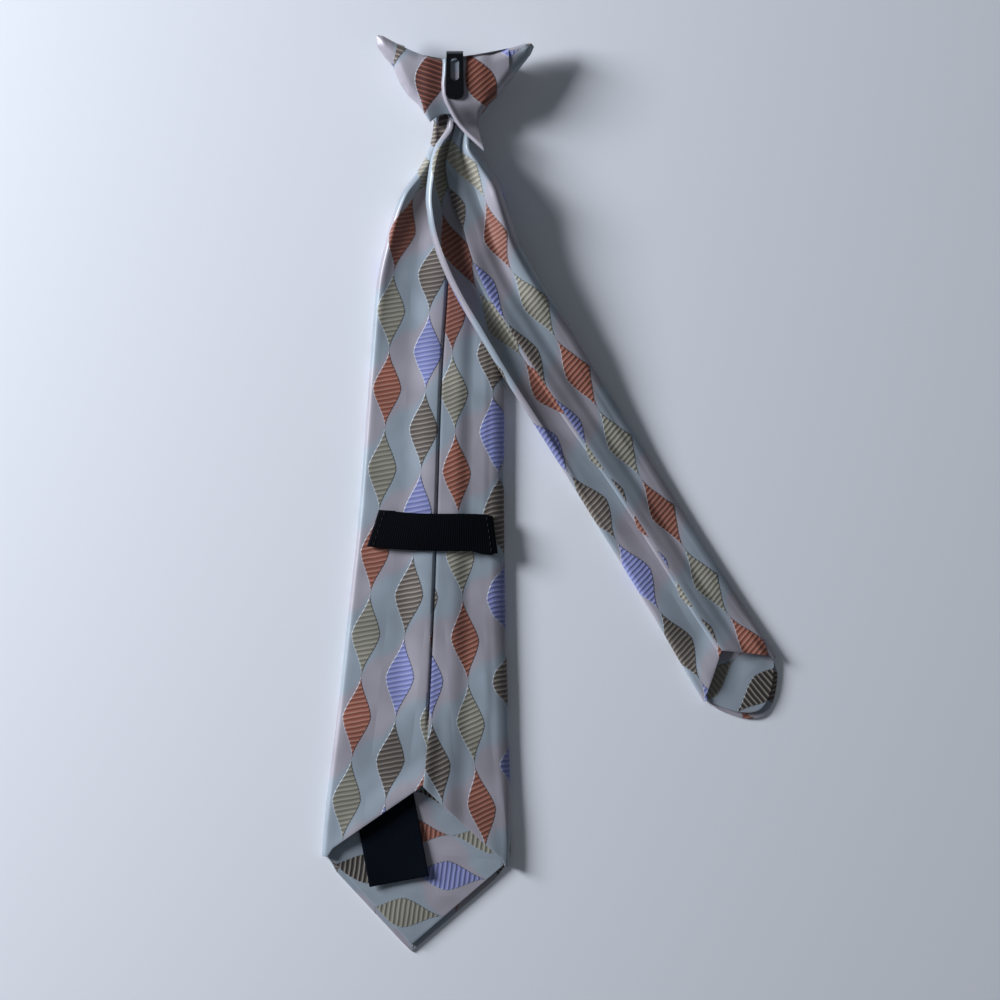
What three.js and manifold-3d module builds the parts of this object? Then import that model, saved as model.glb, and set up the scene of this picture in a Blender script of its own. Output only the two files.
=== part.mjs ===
import * as THREE from "three";
import { mergeVertices } from "three/addons/utils/BufferGeometryUtils.js";
import Module from "manifold-3d";

// A boys' clip-on necktie, lying face down, so its back with the seam, keeper and care label is up.
// Millimetres, +Z up. While it is built, X = 0 is the middle of the knot, Y = 0 is the mouth where
// the two blades leave the knot, and the blades run towards -Y. At the end the whole tie is put
// with the middle of its box over the origin, and the surface that it lies on at Z = 0.

// Cloth, and the clearance between pieces
const cloth = 1.0;
const gap = 0.3;

// The wide blade, from the knot's mouth to the point
const bladeLength = 331;
const bladeWidth = 75.6;
const bladeLean = -3.05;
const bladePoint = 36.4;
const bladeHem = 30.4;

// The narrow blade, or tail, which lies over the wide one and swings out to the right
const tailLength = 267.6;
const tailWidth = 34.8;
const tailSwing = 31.4;
const tailPoint = 17.2;
const tailHem = 14.0;
const tailClearance = 0.5;

// How far each blade's folded edges stand up near the knot
const bladeRise = 3.4;
const tailRise = 5.6;

// The knot: a wrap like a flat funnel, and the wings with their band behind it
const knotHeight = 26.4;
const knotWidth = 38;
const mouthWidth = 18.6;
const knotDepth = 16.5;
const wrapWall = 1.5;
const wingSpan = 63.2;
const neckDepth = 8;
const neckEase = 1.2;

// Linings inside the ends of the blades
const liningInset = 2.0;
const liningTuck = 8;

// The care label, sewn under the left flap
const labelWidth = 23.2;
const labelLength = 40;
const labelTurn = 15.5;
const labelHang = 8.4;
const labelSide = -6.7;

// The keeper, a ribbon across the back that holds the tail
const keeperWidth = 14.9;
const keeperPlace = 162.4;
const keeperBow = 0.6;
const keeperLeg = 6.5;
const keeperLeftInset = 9.9;
const keeperLeftSlant = 4.0;
const keeperRightInset = 4.9;
const keeperRightSlant = 2.8;

// The clip, one stamped strip of metal bent over the top of the wings' band
const clipMetal = 0.8;
const clipWidth = 7.2;
const clipTopWidth = 6.6;
const clipTongue = 16.4;
const clipLeg = 10;
const clipEndRadius = 2.6;
const slotWidth = 3.4;
const slotLength = 9;

// Sections of the wide blade. along is a share of its length. left and right are its edges, as
// shares of the way from the neck's width to the full one, and seam is a share of half the width.
// neck is a share of the height at which it leaves the knot, over of the height at which a blade
// lies on the other one. loft is how far the flaps stand off the front, and leftRise and rightRise
// how far the folded edges stand above the flaps.
const BLADE_SECTIONS = [
  { along: 0.000, left: 0.000, right: 0.000, seam: 0.000, neck: 1.00, over: 0, loft: 0.0, leftRise: 0.05, rightRise: 0.0 },
  { along: 0.027, left: 0.103, right: 0.079, seam: 0.010, neck: 0.90, over: 0, loft: 0.15, leftRise: 0.35, rightRise: 0.0 },
  { along: 0.058, left: 0.243, right: 0.200, seam: 0.020, neck: 0.55, over: 0, loft: 0.3, leftRise: 0.6, rightRise: 0.0 },
  { along: 0.088, left: 0.443, right: 0.346, seam: 0.020, neck: 0.28, over: 0, loft: 0.45, leftRise: 0.7, rightRise: 0.0 },
  { along: 0.140, left: 0.594, right: 0.467, seam: 0.020, neck: 0.05, over: 0, loft: 0.65, leftRise: 0.6, rightRise: 0.0 },
  { along: 0.201, left: 0.691, right: 0.540, seam: 0.020, neck: 0.00, over: 0, loft: 0.85, leftRise: 0.35, rightRise: 0.0 },
  { along: 0.293, left: 0.718, right: 0.594, seam: 0.010, neck: 0.00, over: 0, loft: 1.0, leftRise: 0.1, rightRise: 0.0 },
  { along: 0.457, left: 0.752, right: 0.681, seam: 0.035, neck: 0.00, over: 0, loft: 1.0, leftRise: 0.0, rightRise: 0.0 },
  { along: 0.580, left: 0.818, right: 0.765, seam: 0.055, neck: 0.00, over: 0, loft: 1.0, leftRise: 0.0, rightRise: 0.0 },
  { along: 0.713, left: 0.897, right: 0.879, seam: 0.060, neck: 0.00, over: 0, loft: 1.0, leftRise: 0.0, rightRise: 0.0 },
  { along: 0.887, left: 1.000, right: 1.000, seam: 0.010, neck: 0.00, over: 0, loft: 1.0, leftRise: 0.0, rightRise: 0.0 },
  { along: 1.000, left: 1.000, right: 1.000, seam: 0.000, neck: 0.00, over: 0, loft: 1.0, leftRise: 0.0, rightRise: 0.0 },
];

// Sections of the tail, with the same columns.
const TAIL_SECTIONS = [
  { along: 0.000, left: 0.000, right: 0.000, seam: -0.080, neck: 1.00, over: 0.00, loft: 0.0, leftRise: 0.05, rightRise: 0.05 },
  { along: 0.032, left: 0.194, right: 0.146, seam: -0.150, neck: 0.10, over: 0.93, loft: 0.1, leftRise: 0.5, rightRise: 0.4 },
  { along: 0.066, left: 0.517, right: 0.501, seam: -0.280, neck: 0.00, over: 1.00, loft: 0.2, leftRise: 0.9, rightRise: 0.7 },
  { along: 0.112, left: 0.839, right: 0.871, seam: -0.280, neck: 0.00, over: 1.00, loft: 0.35, leftRise: 1.0, rightRise: 0.8 },
  { along: 0.155, left: 0.919, right: 0.919, seam: -0.180, neck: 0.00, over: 1.00, loft: 0.5, leftRise: 0.8, rightRise: 0.6 },
  { along: 0.197, left: 0.895, right: 0.895, seam: -0.210, neck: 0.00, over: 1.00, loft: 0.6, leftRise: 0.6, rightRise: 0.4 },
  { along: 0.279, left: 0.903, right: 0.887, seam: -0.270, neck: 0.00, over: 0.97, loft: 0.75, leftRise: 0.4, rightRise: 0.2 },
  { along: 0.372, left: 0.944, right: 0.927, seam: -0.250, neck: 0.00, over: 0.80, loft: 0.75, leftRise: 0.2, rightRise: 0.0 },
  { along: 0.485, left: 0.895, right: 0.887, seam: -0.190, neck: 0.00, over: 0.36, loft: 0.7, leftRise: 0.1, rightRise: 0.0 },
  { along: 0.609, left: 0.887, right: 0.887, seam: -0.080, neck: 0.00, over: 0.04, loft: 0.65, leftRise: 0.0, rightRise: 0.0 },
  { along: 0.691, left: 0.887, right: 0.887, seam: -0.060, neck: 0.00, over: 0.00, loft: 0.6, leftRise: 0.0, rightRise: 0.0 },
  { along: 0.804, left: 0.919, right: 0.919, seam: -0.050, neck: 0.00, over: 0.00, loft: 0.55, leftRise: 0.0, rightRise: 0.0 },
  { along: 0.936, left: 1.000, right: 1.000, seam: 0.000, neck: 0.00, over: 0.00, loft: 0.5, leftRise: 0.0, rightRise: 0.0 },
  { along: 1.000, left: 1.000, right: 1.000, seam: 0.000, neck: 0.00, over: 0.00, loft: 0.5, leftRise: 0.0, rightRise: 0.0 },
];

// How the tail turns from the knot's own line to its full swing
const TAIL_TURN = [
  { along: 0.0, swing: 0.0 },
  { along: 0.032, swing: 0.12 },
  { along: 0.094, swing: 0.38 },
  { along: 0.156, swing: 0.5 },
  { along: 0.217, swing: 0.82 },
  { along: 0.279, swing: 1.0 },
  { along: 1.0, swing: 1.0 },
];
const BLADE_TURN = [
  { along: 0.0, swing: 1.0 },
  { along: 1.0, swing: 1.0 },
];

// Sections of the knot's wrap. up is a share of the knot's height, width of the way from the
// mouth's width to the knot's, and depth of the wrap's own depth.
const WRAP_SECTIONS = [
  { up: 0.0, width: 0.0, depth: 1.0 },
  { up: 0.12, width: 0.14, depth: 1.0 },
  { up: 0.3, width: 0.49, depth: 1.0 },
  { up: 0.55, width: 0.763, depth: 1.0 },
  { up: 0.8, width: 0.943, depth: 1.0 },
  { up: 0.93, width: 0.902, depth: 0.97 },
  { up: 1.0, width: 0.686, depth: 0.84 },
];

// Sections of the wings, from the left tip to the right one. across is a share of half the span,
// foot and top are heights as shares of the knot's, and low and high are shares of its depth.
const WING_SECTIONS = [
  { across: -1.0, foot: 1.262, top: 1.345, low: 0.64, high: 0.76 },
  { across: -0.965, foot: 1.17, top: 1.362, low: 0.53, high: 0.83 },
  { across: -0.886, foot: 1.06, top: 1.326, low: 0.44, high: 0.88 },
  { across: -0.785, foot: 0.92, top: 1.273, low: 0.36, high: 0.91 },
  { across: -0.709, foot: 0.742, top: 1.222, low: 0.3, high: 0.93 },
  { across: -0.62, foot: 0.515, top: 1.174, low: 0.27, high: 0.95 },
  { across: -0.481, foot: 0.333, top: 1.106, low: 0.45, high: 0.97 },
  { across: -0.316, foot: 0.242, top: 1.03, low: 0.66, high: 1.0 },
  { across: -0.13, foot: 0.21, top: 1.0, low: 0.69, high: 1.0 },
  { across: 0.13, foot: 0.21, top: 1.0, low: 0.69, high: 1.0 },
  { across: 0.3125, foot: 0.212, top: 1.038, low: 0.66, high: 1.0 },
  { across: 0.475, foot: 0.394, top: 1.076, low: 0.45, high: 0.97 },
  { across: 0.625, foot: 0.56, top: 1.136, low: 0.27, high: 0.95 },
  { across: 0.7125, foot: 0.697, top: 1.18, low: 0.3, high: 0.93 },
  { across: 0.8125, foot: 0.864, top: 1.223, low: 0.38, high: 0.9 },
  { across: 0.9125, foot: 1.0, top: 1.236, low: 0.46, high: 0.87 },
  { across: 0.975, foot: 1.09, top: 1.22, low: 0.54, high: 0.82 },
  { across: 1.0, foot: 1.136, top: 1.197, low: 0.62, high: 0.75 },
];

// The rows of a blade lie closer near the knot, where it bends most
const rowSpread = 1.25;

// Where the right flap laps over the left one, as shares of the width from the seam to the edge
const underlap = 0.2;
const stepMargin = 0.05;
const stepRun = 0.25;

// Worked out from the sizes above
const layer = cloth + gap;
const neckStack = 3 * cloth + 2 * gap;
const wrapDepth = 2 * wrapWall + 3 * gap + 2 * neckStack;
const neckHalf = mouthWidth / 2 - wrapWall - neckEase;
const bladeStack = 5 * cloth + 4 * gap;
const overHeight = bladeStack + gap + tailClearance;
const deg = Math.PI / 180;

const wasm = await Module();
wasm.setup();

// One column of a table at a place between its rows, on a smooth curve through them.
function read(table, key, column, at) {
  const last = table.length - 1;
  let i = 0;
  while (i < last - 1 && at > table[i + 1][key]) i += 1;
  const x = (k) => table[k][key];
  const y = (k) => table[k][column];
  const rise = (k) => (y(k + 1) - y(k)) / (x(k + 1) - x(k));
  const slope = (k) => {
    if (k === 0 || k === last) return 0;
    const before = rise(k - 1);
    const after = rise(k);
    if (before * after <= 0) return 0;
    return (2 * before * after) / (before + after);
  };
  const width = x(i + 1) - x(i);
  const t = THREE.MathUtils.clamp((at - x(i)) / width, 0, 1);
  const blend = t * t * (3 - 2 * t);
  const bend = slope(i) * t * (1 - t) * (1 - t) - slope(i + 1) * t * t * (1 - t);
  return y(i) + (y(i + 1) - y(i)) * blend + width * bend;
}

// A closed mesh from its points and triangles, turned so that its faces point out.
function closedMesh(points, triangles) {
  const positions = new Float32Array(points.flatMap((p) => [p.x, p.y, p.z]));
  let volume = 0;
  for (const [a, b, c] of triangles) {
    const edge = new THREE.Vector3().crossVectors(points[b], points[c]);
    volume += points[a].dot(edge);
  }
  const index = triangles.flatMap(([a, b, c]) => (volume > 0 ? [a, b, c] : [a, c, b]));
  const geometry = new THREE.BufferGeometry();
  geometry.setAttribute("position", new THREE.BufferAttribute(positions, 3));
  geometry.setIndex(index);
  return geometry;
}

// A sheet of even thickness about a grid of points on its middle surface.
function sheetSolid(rows, thickness) {
  const height = rows.length;
  const width = rows[0].length;
  const points = [];
  for (const side of [0.5, -0.5]) {
    for (let i = 0; i < height; i += 1) {
      for (let j = 0; j < width; j += 1) {
        const down = rows[Math.min(i + 1, height - 1)][j].clone().sub(rows[Math.max(i - 1, 0)][j]);
        const across = rows[i][Math.min(j + 1, width - 1)].clone().sub(rows[i][Math.max(j - 1, 0)]);
        const normal = across.cross(down).normalize();
        points.push(rows[i][j].clone().addScaledVector(normal, side * thickness));
      }
    }
  }
  const at = (side, i, j) => side * height * width + i * width + j;
  const triangles = [];
  const quad = (a, b, c, d) => triangles.push([a, b, c], [a, c, d]);
  for (let i = 0; i < height - 1; i += 1) {
    for (let j = 0; j < width - 1; j += 1) {
      quad(at(0, i, j), at(0, i + 1, j), at(0, i + 1, j + 1), at(0, i, j + 1));
      quad(at(1, i, j), at(1, i, j + 1), at(1, i + 1, j + 1), at(1, i + 1, j));
    }
    quad(at(0, i, 0), at(1, i, 0), at(1, i + 1, 0), at(0, i + 1, 0));
    quad(at(0, i, width - 1), at(0, i + 1, width - 1), at(1, i + 1, width - 1), at(1, i, width - 1));
  }
  for (let j = 0; j < width - 1; j += 1) {
    quad(at(0, 0, j), at(0, 0, j + 1), at(1, 0, j + 1), at(1, 0, j));
    quad(at(0, height - 1, j), at(1, height - 1, j), at(1, height - 1, j + 1), at(0, height - 1, j + 1));
  }
  return closedMesh(points, triangles);
}

// A solid through rings of points, with flat ends.
function loftSolid(rings) {
  const count = rings[0].length;
  const points = rings.flat();
  const triangles = [];
  for (let i = 0; i < rings.length - 1; i += 1) {
    for (let j = 0; j < count; j += 1) {
      const a = i * count + j;
      const b = i * count + ((j + 1) % count);
      triangles.push([a, b, b + count], [a, b + count, a + count]);
    }
  }
  const cap = (ring, first, turn) => {
    const middle = points.length;
    points.push(ring.reduce((sum, p) => sum.add(p), new THREE.Vector3()).divideScalar(count));
    for (let j = 0; j < count; j += 1) {
      const a = first + j;
      const b = first + ((j + 1) % count);
      triangles.push(turn ? [middle, b, a] : [middle, a, b]);
    }
  };
  cap(rings[0], 0, true);
  cap(rings[rings.length - 1], (rings.length - 1) * count, false);
  return closedMesh(points, triangles);
}

// A rounded box-like outline, as pairs from -1 to 1. A higher power gives squarer corners.
function softOutline(count, power) {
  const soft = (v) => Math.sign(v) * Math.abs(v) ** (2 / power);
  return Array.from({ length: count }, (_, k) => {
    const angle = ((k + 0.5) / count) * 2 * Math.PI;
    return [soft(Math.cos(angle)), soft(Math.sin(angle))];
  });
}

// Between three.js geometry and manifold solids, which join and cut.
function toSolid(geometry) {
  const bare = new THREE.BufferGeometry().setAttribute("position", geometry.getAttribute("position").clone());
  if (geometry.index) bare.setIndex(geometry.index.clone());
  const merged = mergeVertices(bare, 1e-4);
  return new wasm.Manifold(
    new wasm.Mesh({
      numProp: 3,
      vertProperties: merged.attributes.position.array,
      triVerts: new Uint32Array(merged.index.array),
    }),
  );
}
function toGeometry(solid) {
  const mesh = solid.getMesh();
  const geometry = new THREE.BufferGeometry();
  geometry.setAttribute("position", new THREE.BufferAttribute(new Float32Array(mesh.vertProperties), 3));
  geometry.setIndex(new THREE.BufferAttribute(new Uint32Array(mesh.triVerts), 1));
  return geometry;
}

// The line that a blade lies along: its place and heading at each length from the knot's mouth. It
// runs straight inside the knot. A heading of 0 runs towards -Y, and a positive one turns to +X.
function bladeRoute(length, swing, turns) {
  const steps = 200;
  const places = [{ x: 0, y: 0, heading: swing * deg * read(turns, "along", "swing", 0) }];
  for (let k = 1; k <= steps; k += 1) {
    const heading = swing * deg * read(turns, "along", "swing", (k - 0.5) / steps);
    const before = places[k - 1];
    const run = length / steps;
    places.push({
      x: before.x + run * Math.sin(heading),
      y: before.y - run * Math.cos(heading),
      heading,
    });
  }
  return (out) => {
    const k = (out / length) * steps;
    const low = THREE.MathUtils.clamp(Math.floor(k), 0, steps - 1);
    const mix = (name) => places[low][name] + (places[low + 1][name] - places[low][name]) * (k - low);
    return { x: mix("x"), y: mix("y"), heading: mix("heading") };
  };
}

// What a blade is: its route, its table of sections, and its named sizes.
const WIDE = {
  length: bladeLength,
  half: bladeWidth / 2,
  sections: BLADE_SECTIONS,
  neck: wrapWall + gap,
  point: bladePoint,
  hem: bladeHem,
  rise: bladeRise,
  pointPower: 1,
  route: bladeRoute(bladeLength, bladeLean, BLADE_TURN),
};
const TAIL = {
  length: tailLength,
  half: tailWidth / 2,
  sections: TAIL_SECTIONS,
  neck: wrapWall + gap + neckStack + gap,
  point: tailPoint,
  hem: tailHem,
  rise: tailRise,
  pointPower: 1.8,
  route: bladeRoute(tailLength, tailSwing, TAIL_TURN),
};

// The point of a blade's own frame at a length from the mouth, a place across and a height.
function place(blade, length, across, height) {
  const { x, y, heading } = blade.route(length);
  return new THREE.Vector3(x + across * Math.cos(heading), y + across * Math.sin(heading), height);
}

// The measures of a blade's section at a length from the mouth. All are of the cloth's middle.
function sectionAt(blade, length) {
  const along = length / blade.length;
  const column = (name) => read(blade.sections, "along", name, along);
  const front = column("neck") * blade.neck + column("over") * overHeight + cloth / 2;
  const flap = front + layer * (1 + 2 * column("loft"));
  const left = cloth / 2 - THREE.MathUtils.lerp(neckHalf, blade.half, column("left"));
  const right = THREE.MathUtils.lerp(neckHalf, blade.half, column("right")) - cloth / 2;
  return {
    front,
    flap,
    left,
    right,
    seam: column("seam") * blade.half,
    leftTop: flap + column("leftRise") * blade.rise,
    rightTop: flap + column("rightRise") * blade.rise,
  };
}

const smooth = (t) => t * t * (3 - 2 * t);

// The places round a blade's section, from the left flap's hidden edge, round the left fold, across
// the front, round the right fold and along the right flap to the seam. Each gives its place across
// and its height from the measures of a section.
function sectionPath() {
  const path = [];
  const between = (a, b, t) => a + (b - a) * t;
  const lap = (m, share) => m.seam + share * (m.right - m.seam);
  const leftRadius = (m) => (m.leftTop - m.front) / 2;
  const rightRadius = (m) => (m.rightTop - m.front) / 2;
  const flapColumns = 4;
  const foldColumns = 4;
  const frontColumns = 6;
  const stepColumns = 3;
  for (let k = 0; k < flapColumns; k += 1) {
    const t = k / flapColumns;
    path.push({
      panel: "left",
      at: (m) => [between(lap(m, underlap), m.left + leftRadius(m), t), between(m.flap, m.leftTop, smooth(t))],
    });
  }
  for (let k = 0; k <= foldColumns; k += 1) {
    const angle = (k / foldColumns) * Math.PI;
    path.push({
      panel: "fold",
      at: (m) => {
        const radius = leftRadius(m);
        return [m.left + radius * (1 - Math.sin(angle)), m.front + radius * (1 + Math.cos(angle))];
      },
    });
  }
  for (let k = 1; k < frontColumns; k += 1) {
    const t = k / frontColumns;
    path.push({
      panel: "front",
      at: (m) => [between(m.left + leftRadius(m), m.right - rightRadius(m), t), m.front],
    });
  }
  for (let k = 0; k <= foldColumns; k += 1) {
    const angle = (k / foldColumns) * Math.PI;
    path.push({
      panel: "fold",
      at: (m) => {
        const radius = rightRadius(m);
        return [m.right - radius * (1 - Math.sin(angle)), m.front + radius * (1 - Math.cos(angle))];
      },
    });
  }
  for (let k = 1; k <= stepColumns; k += 1) {
    const t = k / stepColumns;
    path.push({
      panel: "right",
      at: (m) => [
        between(m.right - rightRadius(m), lap(m, underlap + stepMargin + stepRun), t),
        between(m.rightTop, m.flap, smooth(t)),
      ],
    });
  }
  for (let k = 1; k <= stepColumns; k += 1) {
    const t = k / stepColumns;
    path.push({
      panel: "right",
      at: (m) => [lap(m, underlap + stepMargin + stepRun * (1 - t)), m.flap + layer * smooth(t)],
    });
  }
  for (const share of [underlap / 2, 0]) {
    path.push({ panel: "right", at: (m) => [lap(m, share), m.flap + layer] });
  }
  return path;
}

// How far the front reaches at a place across, given as a share of half the width.
function pointReach(blade, share) {
  return blade.point * (1 - Math.abs(share) ** blade.pointPower);
}

// A folded blade: one piece of cloth, folded at both edges and lapped at the seam on its back. The
// front runs on to the point, and the flaps stop at hems that slant from the seam to the corners.
function foldedBlade(blade) {
  const path = sectionPath();
  const corner = blade.length - blade.point;
  const atCorner = sectionAt(blade, corner);
  const ends = path.map((stop) => {
    const share = stop.at(atCorner)[0] / blade.half;
    if (stop.panel === "front") return corner + pointReach(blade, share);
    if (stop.panel === "left") return corner - blade.hem * (1 + share);
    if (stop.panel === "right") return corner - blade.hem * (1 - share);
    return corner;
  });
  const row = (lengthAt) =>
    path.map((stop, j) => {
      const length = lengthAt(ends[j]);
      const [across, height] = stop.at(sectionAt(blade, length));
      return place(blade, length, across, height);
    });
  const rowCount = 23;
  const rows = [row(() => -neckDepth)];
  for (let i = 0; i <= rowCount; i += 1) {
    rows.push(row((end) => end * (i / rowCount) ** rowSpread));
  }
  return sheetSolid(rows, cloth);
}

// The lining of a blade's end: a flat sheet on the front's inner side, set in from the edge of the
// point and tucked under both flaps.
function tipLining(blade) {
  const corner = blade.length - blade.point;
  const measures = sectionAt(blade, corner);
  const reach = (measures.flap - measures.front) / 2;
  const side = (measures.right - reach - gap) / blade.half;
  const across = 10;
  const down = 6;
  const rows = [];
  for (let i = 0; i <= down; i += 1) {
    const row = [];
    for (let j = 0; j <= across; j += 1) {
      const share = side * ((2 * j) / across - 1);
      const start = corner - blade.hem * (1 - Math.abs(share)) - liningTuck;
      const end = corner + pointReach(blade, share) - liningInset * Math.SQRT2;
      const length = start + (end - start) * (i / down);
      row.push(place(blade, length, share * blade.half, measures.front + layer));
    }
    rows.push(row);
  }
  return sheetSolid(rows, cloth);
}

// The care label: a strip of satin whose upper end is under the left flap.
function careLabel() {
  const foot = bladeLength - bladePoint + labelHang;
  const measures = sectionAt(WIDE, foot);
  const turn = labelTurn * deg;
  const across = 4;
  const down = 6;
  const rows = [];
  for (let i = 0; i <= down; i += 1) {
    const row = [];
    for (let j = 0; j <= across; j += 1) {
      const side = (j / across - 0.5) * labelWidth;
      const up = (1 - i / down) * labelLength;
      const length = foot - up * Math.cos(turn) - side * Math.sin(turn);
      const beside = labelSide - up * Math.sin(turn) + side * Math.cos(turn);
      row.push(place(WIDE, length, beside, measures.front + 2 * layer));
    }
    rows.push(row);
  }
  return sheetSolid(rows, cloth);
}

// The keeper: a ribbon over both flaps, turned under at each end and sewn down there.
function keeperLoop() {
  const measures = sectionAt(WIDE, keeperPlace);
  const legHeight = measures.flap + layer;
  const topHeight = legHeight + layer + cloth / 2;
  const radius = (topHeight - legHeight) / 2;
  const turnSteps = 4;
  const topSteps = 8;
  const rowCount = 4;
  const rows = [];
  for (let i = 0; i <= rowCount; i += 1) {
    const t = i / rowCount;
    const length = keeperPlace + (t - 0.5) * keeperWidth;
    const left = measures.left + keeperLeftInset - keeperLeftSlant * t;
    const right = measures.right - keeperRightInset + keeperRightSlant * t;
    const row = [place(WIDE, length, left + keeperLeg, legHeight)];
    for (let k = 0; k <= turnSteps; k += 1) {
      const angle = (k / turnSteps) * Math.PI;
      const across = left + radius * (1 - Math.sin(angle));
      row.push(place(WIDE, length, across, legHeight + radius * (1 - Math.cos(angle))));
    }
    for (let k = 1; k < topSteps; k += 1) {
      const share = k / topSteps;
      const across = left + radius + (right - left - 2 * radius) * share;
      row.push(place(WIDE, length, across, topHeight + keeperBow * Math.sin(share * Math.PI)));
    }
    for (let k = 0; k <= turnSteps; k += 1) {
      const angle = (k / turnSteps) * Math.PI;
      const across = right - radius * (1 - Math.sin(angle));
      row.push(place(WIDE, length, across, legHeight + radius * (1 + Math.cos(angle))));
    }
    row.push(place(WIDE, length, right - keeperLeg, legHeight));
    rows.push(row);
  }
  return sheetSolid(rows, cloth);
}

// The outside of the knot's wrap, grown by an offset all round, or shrunk by a negative one.
function wrapBody(offset, foot, top) {
  const outline = softOutline(32, 4.5);
  const stops = 9;
  const rings = [];
  for (let i = 0; i <= stops; i += 1) {
    const y = foot + (top - foot) * (i / stops);
    const up = THREE.MathUtils.clamp(y / knotHeight, 0, 1);
    const width = THREE.MathUtils.lerp(mouthWidth, knotWidth, read(WRAP_SECTIONS, "up", "width", up));
    const half = width / 2 + offset;
    const depth = read(WRAP_SECTIONS, "up", "depth", up) * wrapDepth;
    rings.push(outline.map(([a, b]) => new THREE.Vector3(half * a, y, depth / 2 + (depth / 2 + offset) * b)));
  }
  return toSolid(loftSolid(rings));
}

// The wrap: the cloth that is wound round the necks of both blades. It is hollow as deep as the
// necks go in, and open at its mouth. Above them its wound layers fill it.
function knotWrap() {
  const beyond = 5;
  const outer = wrapBody(0, 0, knotHeight);
  const hollow = wrapBody(-wrapWall, -beyond, neckDepth + neckEase);
  return toGeometry(outer.subtract(hollow));
}

// The clip's heights: its leg lies on the wrap, the wings' band on the leg, and the tongue on that.
const legMiddle = wrapDepth + gap + clipMetal / 2;
const tongueMiddle = knotDepth + gap + clipMetal / 2;

// The wings: two soft ears joined by the band that lies behind the wrap. Where the wrap and the
// clip's leg are, the band is cut back by the clearance.
function knotWings() {
  const outline = softOutline(24, 2.6);
  const rings = WING_SECTIONS.map((row) => {
    const x = (row.across * wingSpan) / 2;
    const middle = ((row.top + row.foot) / 2) * knotHeight;
    const tall = ((row.top - row.foot) / 2) * knotHeight;
    const centre = ((row.high + row.low) / 2) * knotDepth;
    const deep = ((row.high - row.low) / 2) * knotDepth;
    return outline.map(([a, b]) => new THREE.Vector3(x, middle + tall * a, centre + deep * b));
  });
  const beyond = 2;
  const pocket = new THREE.BoxGeometry(clipWidth + 2 * gap, clipLeg + gap + beyond + knotHeight, clipMetal + 2 * gap);
  pocket.translate(0, knotHeight - clipLeg - gap + (clipLeg + gap + beyond + knotHeight) / 2, legMiddle);
  return toGeometry(
    toSolid(loftSolid(rings)).subtract(wrapBody(gap, -beyond, knotHeight + gap)).subtract(toSolid(pocket)),
  );
}

// The clip: a strip bent like a hairpin over the top of the band, with its slotted, round-ended
// tongue on the back of the knot and its leg inside.
function clip() {
  const radius = (tongueMiddle - legMiddle) / 2;
  const middle = (tongueMiddle + legMiddle) / 2;
  const bendAt = knotHeight - 0.2;
  const turnSteps = 10;
  const side = [];
  const offsetLine = (offset) => {
    const line = [[bendAt - clipLeg, legMiddle - offset]];
    for (let k = 0; k <= turnSteps; k += 1) {
      const angle = (k / turnSteps) * Math.PI;
      const r = radius + offset;
      line.push([bendAt + r * Math.sin(angle), middle - r * Math.cos(angle)]);
    }
    line.push([bendAt - clipTongue, tongueMiddle + offset]);
    return line;
  };
  side.push(...offsetLine(clipMetal / 2), ...offsetLine(-clipMetal / 2).reverse());
  const profile = new THREE.Shape(side.map(([y, z]) => new THREE.Vector2(y, z)));
  const strip = new THREE.ExtrudeGeometry(profile, { depth: clipWidth, bevelEnabled: false });
  strip.applyMatrix4(
    new THREE.Matrix4().makeBasis(
      new THREE.Vector3(0, 1, 0),
      new THREE.Vector3(0, 0, 1),
      new THREE.Vector3(1, 0, 0),
    ),
  );
  strip.translate(-clipWidth / 2, 0, 0);

  const foot = bendAt - clipTongue;
  const head = bendAt + radius + clipMetal;
  const wide = clipWidth / 2;
  const slim = clipTopWidth / 2;
  const round = clipEndRadius;
  const plan = new THREE.Shape();
  plan.moveTo(-slim, head);
  plan.lineTo(-wide, foot + round);
  plan.absarc(-wide + round, foot + round, round, Math.PI, 1.5 * Math.PI, false);
  plan.absarc(wide - round, foot + round, round, 1.5 * Math.PI, 2 * Math.PI, false);
  plan.lineTo(slim, head);
  plan.closePath();
  const outline = new THREE.ExtrudeGeometry(plan, { depth: 2 * knotDepth, bevelEnabled: false, curveSegments: 6 });

  const slotRadius = slotWidth / 2;
  const slotPlan = new THREE.Shape();
  slotPlan.absarc(0, bendAt - slotRadius, slotRadius, 0, Math.PI, false);
  slotPlan.absarc(0, bendAt - slotLength + slotRadius, slotRadius, Math.PI, 2 * Math.PI, false);
  slotPlan.closePath();
  const slot = new THREE.ExtrudeGeometry(slotPlan, { depth: knotDepth, bevelEnabled: false, curveSegments: 8 });
  slot.translate(0, 0, middle);

  return toGeometry(toSolid(strip).intersect(toSolid(outline)).subtract(toSolid(slot)));
}

// Finishes
const finish = (color, roughness, metalness) =>
  new THREE.MeshStandardMaterial({ color, roughness, metalness, side: THREE.DoubleSide });
const silverSatin = finish(0xa9b3bb, 0.45, 0);
const silverLining = finish(0xa2acb6, 0.5, 0);
const navySatin = finish(0x10151f, 0.4, 0);
const blackRibbon = finish(0x0d1118, 0.45, 0);
const blackEnamel = finish(0x08090b, 0.3, 0.6);

const tie = new THREE.Group();
function add(name, geometry, material) {
  const mesh = new THREE.Mesh(geometry, material);
  mesh.name = name;
  tie.add(mesh);
}
add("wide_blade", foldedBlade(WIDE), silverSatin);
add("blade_tip_lining", tipLining(WIDE), silverLining);
add("care_label", careLabel(), navySatin);
add("keeper_loop", keeperLoop(), blackRibbon);
add("narrow_tail", foldedBlade(TAIL), silverSatin);
add("tail_tip_lining", tipLining(TAIL), silverLining);
add("knot_wings", knotWings(), silverSatin);
add("knot_wrap", knotWrap(), silverSatin);
add("clip", clip(), blackEnamel);

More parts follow.
